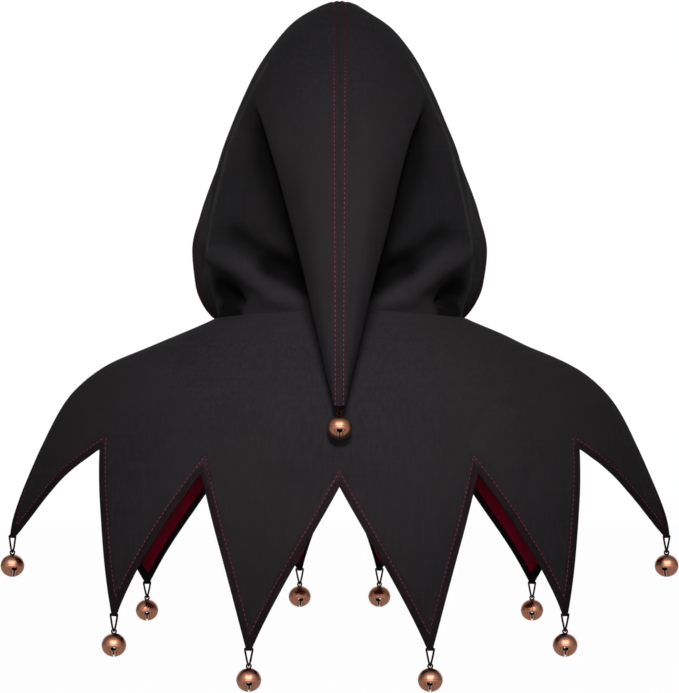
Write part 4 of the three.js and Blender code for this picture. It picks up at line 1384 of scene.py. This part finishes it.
def hang_bell(name, top, across, link, turn):
    """A bell, its pellet and its link below a place on the cloth. The bell is turned about its upright
    axis."""
    middle = top - (0, 0, link["drop"])
    sine, cosine = np.sin(np.radians(turn)), np.cos(np.radians(turn))
    turned = BELL_POINTS @ np.array([[cosine, sine, 0], [-sine, cosine, 0], [0, 0, 1]])
    bell = make_piece(
        f"jingle_bell_{name}", turned + middle, BELL_FACES, BELL_COPPER, "bell_copper", [f"bell_{name}"],
        values={"recess": BELL_RECESS}, weld=True,
    )
    sharp_edges(bell, SHARP_BELL)
    path = link_loop(top, across, middle + (0, 0, LINK_FOOT), link)
    wire_points, wire_faces = tube(path, LINK_WIRE, 10)
    make_piece(
        f"wire_link_{name}", wire_points, wire_faces, LINK_COPPER, "link_wire", [f"link_{name}"],
        values={"recess": np.zeros(len(wire_points))},
    )
    pellet_points = PELLET_POINTS + middle - (0, 0, PELLET_DROP)
    make_piece(
        f"bell_pellet_{name}", pellet_points, PELLET_FACES, PELLET_STEEL, "pellet_steel", [f"pellet_{name}"],
        values={"recess": np.zeros(len(pellet_points))}, weld=True,
    )


# Everything in its place

hoods = {side: hood_half(side, sign) for side, sign in (("left", 1), ("right", -1))}
capes = {name: cape_side(name, name == "front") for name in ("back", "front")}
for *_, tips in capes.values():
    for tip in tips:
        point, _, side = tip["name"].rpartition("_")
        turn = BELL_TURNS[point] * (1 if side == "left" else -1)
        hang_bell(tip["name"], tip["middle"], tip["across"], POINT_LINK, turn)
tail_y = (TAIL["outer_y"](1.0) + TAIL["inner_y"](1.0)) / 2
tail_end = np.array([0.0, tail_y, TAIL["inner_z"](1.0) + TAIL_BAR_RISE])
hang_bell("tail", tail_end, np.array([1.0, 0.0, 0.0]), TAIL_LINK, BELL_TURNS["tail"])


# Floor, light and camera

FLOOR_Z = -0.85
FLOOR_FAR = 9.0

# Brightness of the surroundings, as the range of a direction and the brightness at its two ends: for cloth by
# height, and in metal on the camera's side and beyond the object
CLOTH_SKY = (-0.6, 0.9, 0.038, 0.085)
MIRRORED_NEAR = (-0.2, 0.95, 0.14, 0.75)
MIRRORED_FAR = (-0.6, -0.97, 0, 1.0)
SOFT_BOX = {"z": 0.5, "half_width": 0.5, "half_height": 0.33, "strength": 2.8}

# Lights: place, aim, size, watts and the spread of the beam in degrees
LIGHTS = {
    "front light": ((0.0, 2.35, 0.95), (0, 0.1, 0.03), (0.45, 0.4), 1.24, 22),
    "low light": ((0.0, 2.4, -0.02), (0, 0.1, -0.14), (0.4, 0.25), 0.24, 20),
    "left light": ((2.0, -1.2, 0.6), (0, 0.0, 0.05), (0.5, 1.2), 0.55, 44),
    "right light": ((-2.0, -1.2, 0.6), (0, 0.0, 0.05), (0.5, 1.2), 0.55, 44),
    "face light": ((0.0, -2.35, 0.8), (0, -0.1, 0.0), (0.45, 0.4), 0.6, 30),
}


def pale_floor():
    """A plain white floor well below the bells, as bright to the camera as what is behind it."""
    mesh = bpy.data.meshes.new("floor")
    far = FLOOR_FAR
    corners = [(-far, -far, FLOOR_Z), (far, -far, FLOOR_Z), (far, far, FLOOR_Z), (-far, far, FLOOR_Z)]
    mesh.from_pydata(corners, [], [(0, 1, 2, 3)])
    material, tree, shader = new_material("pale floor")
    seen = add_node(tree, "LightPath").outputs["Is Camera Ray"]
    looks = {
        "Base Color": (0.05, 0.05, 0.05, 1),
        "Roughness": 1.0,
        "Specular IOR Level": 0.0,
        "Emission Color": (1, 1, 1, 1),
        "Emission Strength": ranged(tree, seen, 0, 1, 0.35, 0.98),
    }
    set_inputs(tree, shader, looks)
    mesh.materials.append(material)
    floor = bpy.data.objects.new("floor", mesh)
    bpy.context.scene.collection.objects.link(floor)
    floor.visible_diffuse = False


def soft_light(name, place, aim, size, watts, degrees):
    """A large rectangular light for the cloth that faces a place and fades out towards the sides of its beam.
    Metal mirrors the surroundings instead of it."""
    data = bpy.data.lights.new(name, "AREA")
    data.shape = "RECTANGLE"
    data.size, data.size_y = size
    data.energy = watts
    data.spread = np.radians(degrees)
    light = bpy.data.objects.new(name, data)
    light.visible_glossy = False
    light.location = place
    direction = Vector(aim) - Vector(place)
    light.rotation_euler = direction.to_track_quat("-Z", "Y").to_euler()
    bpy.context.scene.collection.objects.link(light)


def studio():
    """White surroundings for the camera. Cloth is lit by dim ones, brighter above, and metal mirrors brighter
    ones, palest behind the object and with a soft box above the camera."""
    world = bpy.data.worlds.new("studio")
    bpy.context.scene.world = world
    world.use_nodes = True
    tree = world.node_tree
    sky = tree.nodes["Background"]
    around = add_node(tree, "TexCoord").outputs["Generated"]
    direction = add_node(tree, "SeparateXYZ", {}, {0: around})
    x, y, z = (direction.outputs[axis] for axis in ("X", "Y", "Z"))
    dim = ranged(tree, z, *CLOTH_SKY)
    mirrored = math_node(tree, "ADD", ranged(tree, y, *MIRRORED_NEAR), ranged(tree, y, *MIRRORED_FAR))
    half_width, half_height = SOFT_BOX["half_width"], SOFT_BOX["half_height"]
    sideways = math_node(tree, "ABSOLUTE", x)
    off_level = math_node(tree, "ABSOLUTE", math_node(tree, "SUBTRACT", z, SOFT_BOX["z"]))
    box = ranged(tree, sideways, half_width, 0.75 * half_width, 0, 1)
    box = math_node(tree, "MULTIPLY", box, ranged(tree, off_level, half_height, 0.6 * half_height, 0, 1))
    box = math_node(tree, "MULTIPLY", box, ranged(tree, y, 0, 0.2, 0, SOFT_BOX["strength"]))
    mirrored = math_node(tree, "ADD", mirrored, box)
    path = add_node(tree, "LightPath")
    shade = add_node(tree, "Mix", {}, {"Factor": path.outputs["Is Glossy Ray"], "A": dim, "B": mirrored})
    tree.links.new(shade.outputs["Result"], sky.inputs["Color"])
    white = add_node(tree, "Background", {}, {"Color": (1, 1, 1, 1), "Strength": 1.0})
    seen = path.outputs["Is Camera Ray"]
    both = add_node(tree, "MixShader", {}, {0: seen, 1: sky.outputs[0], 2: white.outputs[0]})
    tree.links.new(both.outputs[0], tree.nodes["World Output"].inputs["Surface"])


pale_floor()
studio()
for name, light in LIGHTS.items():
    soft_light(name, *light)

IMAGE_HEIGHT = 693
FOCAL_PIXELS = 2489.0
SENSOR = 36.0
camera_data = bpy.data.cameras.new("camera")
camera_data.sensor_width = SENSOR
camera_data.lens = FOCAL_PIXELS / IMAGE_HEIGHT * SENSOR
camera = bpy.data.objects.new("camera", camera_data)
camera.location = (0.0, 2.34, -0.032)
camera.rotation_euler = (np.pi / 2, 0, np.pi)
bpy.context.scene.collection.objects.link(camera)
bpy.context.scene.camera = camera
bpy.context.scene.view_settings.view_transform = "Standard"
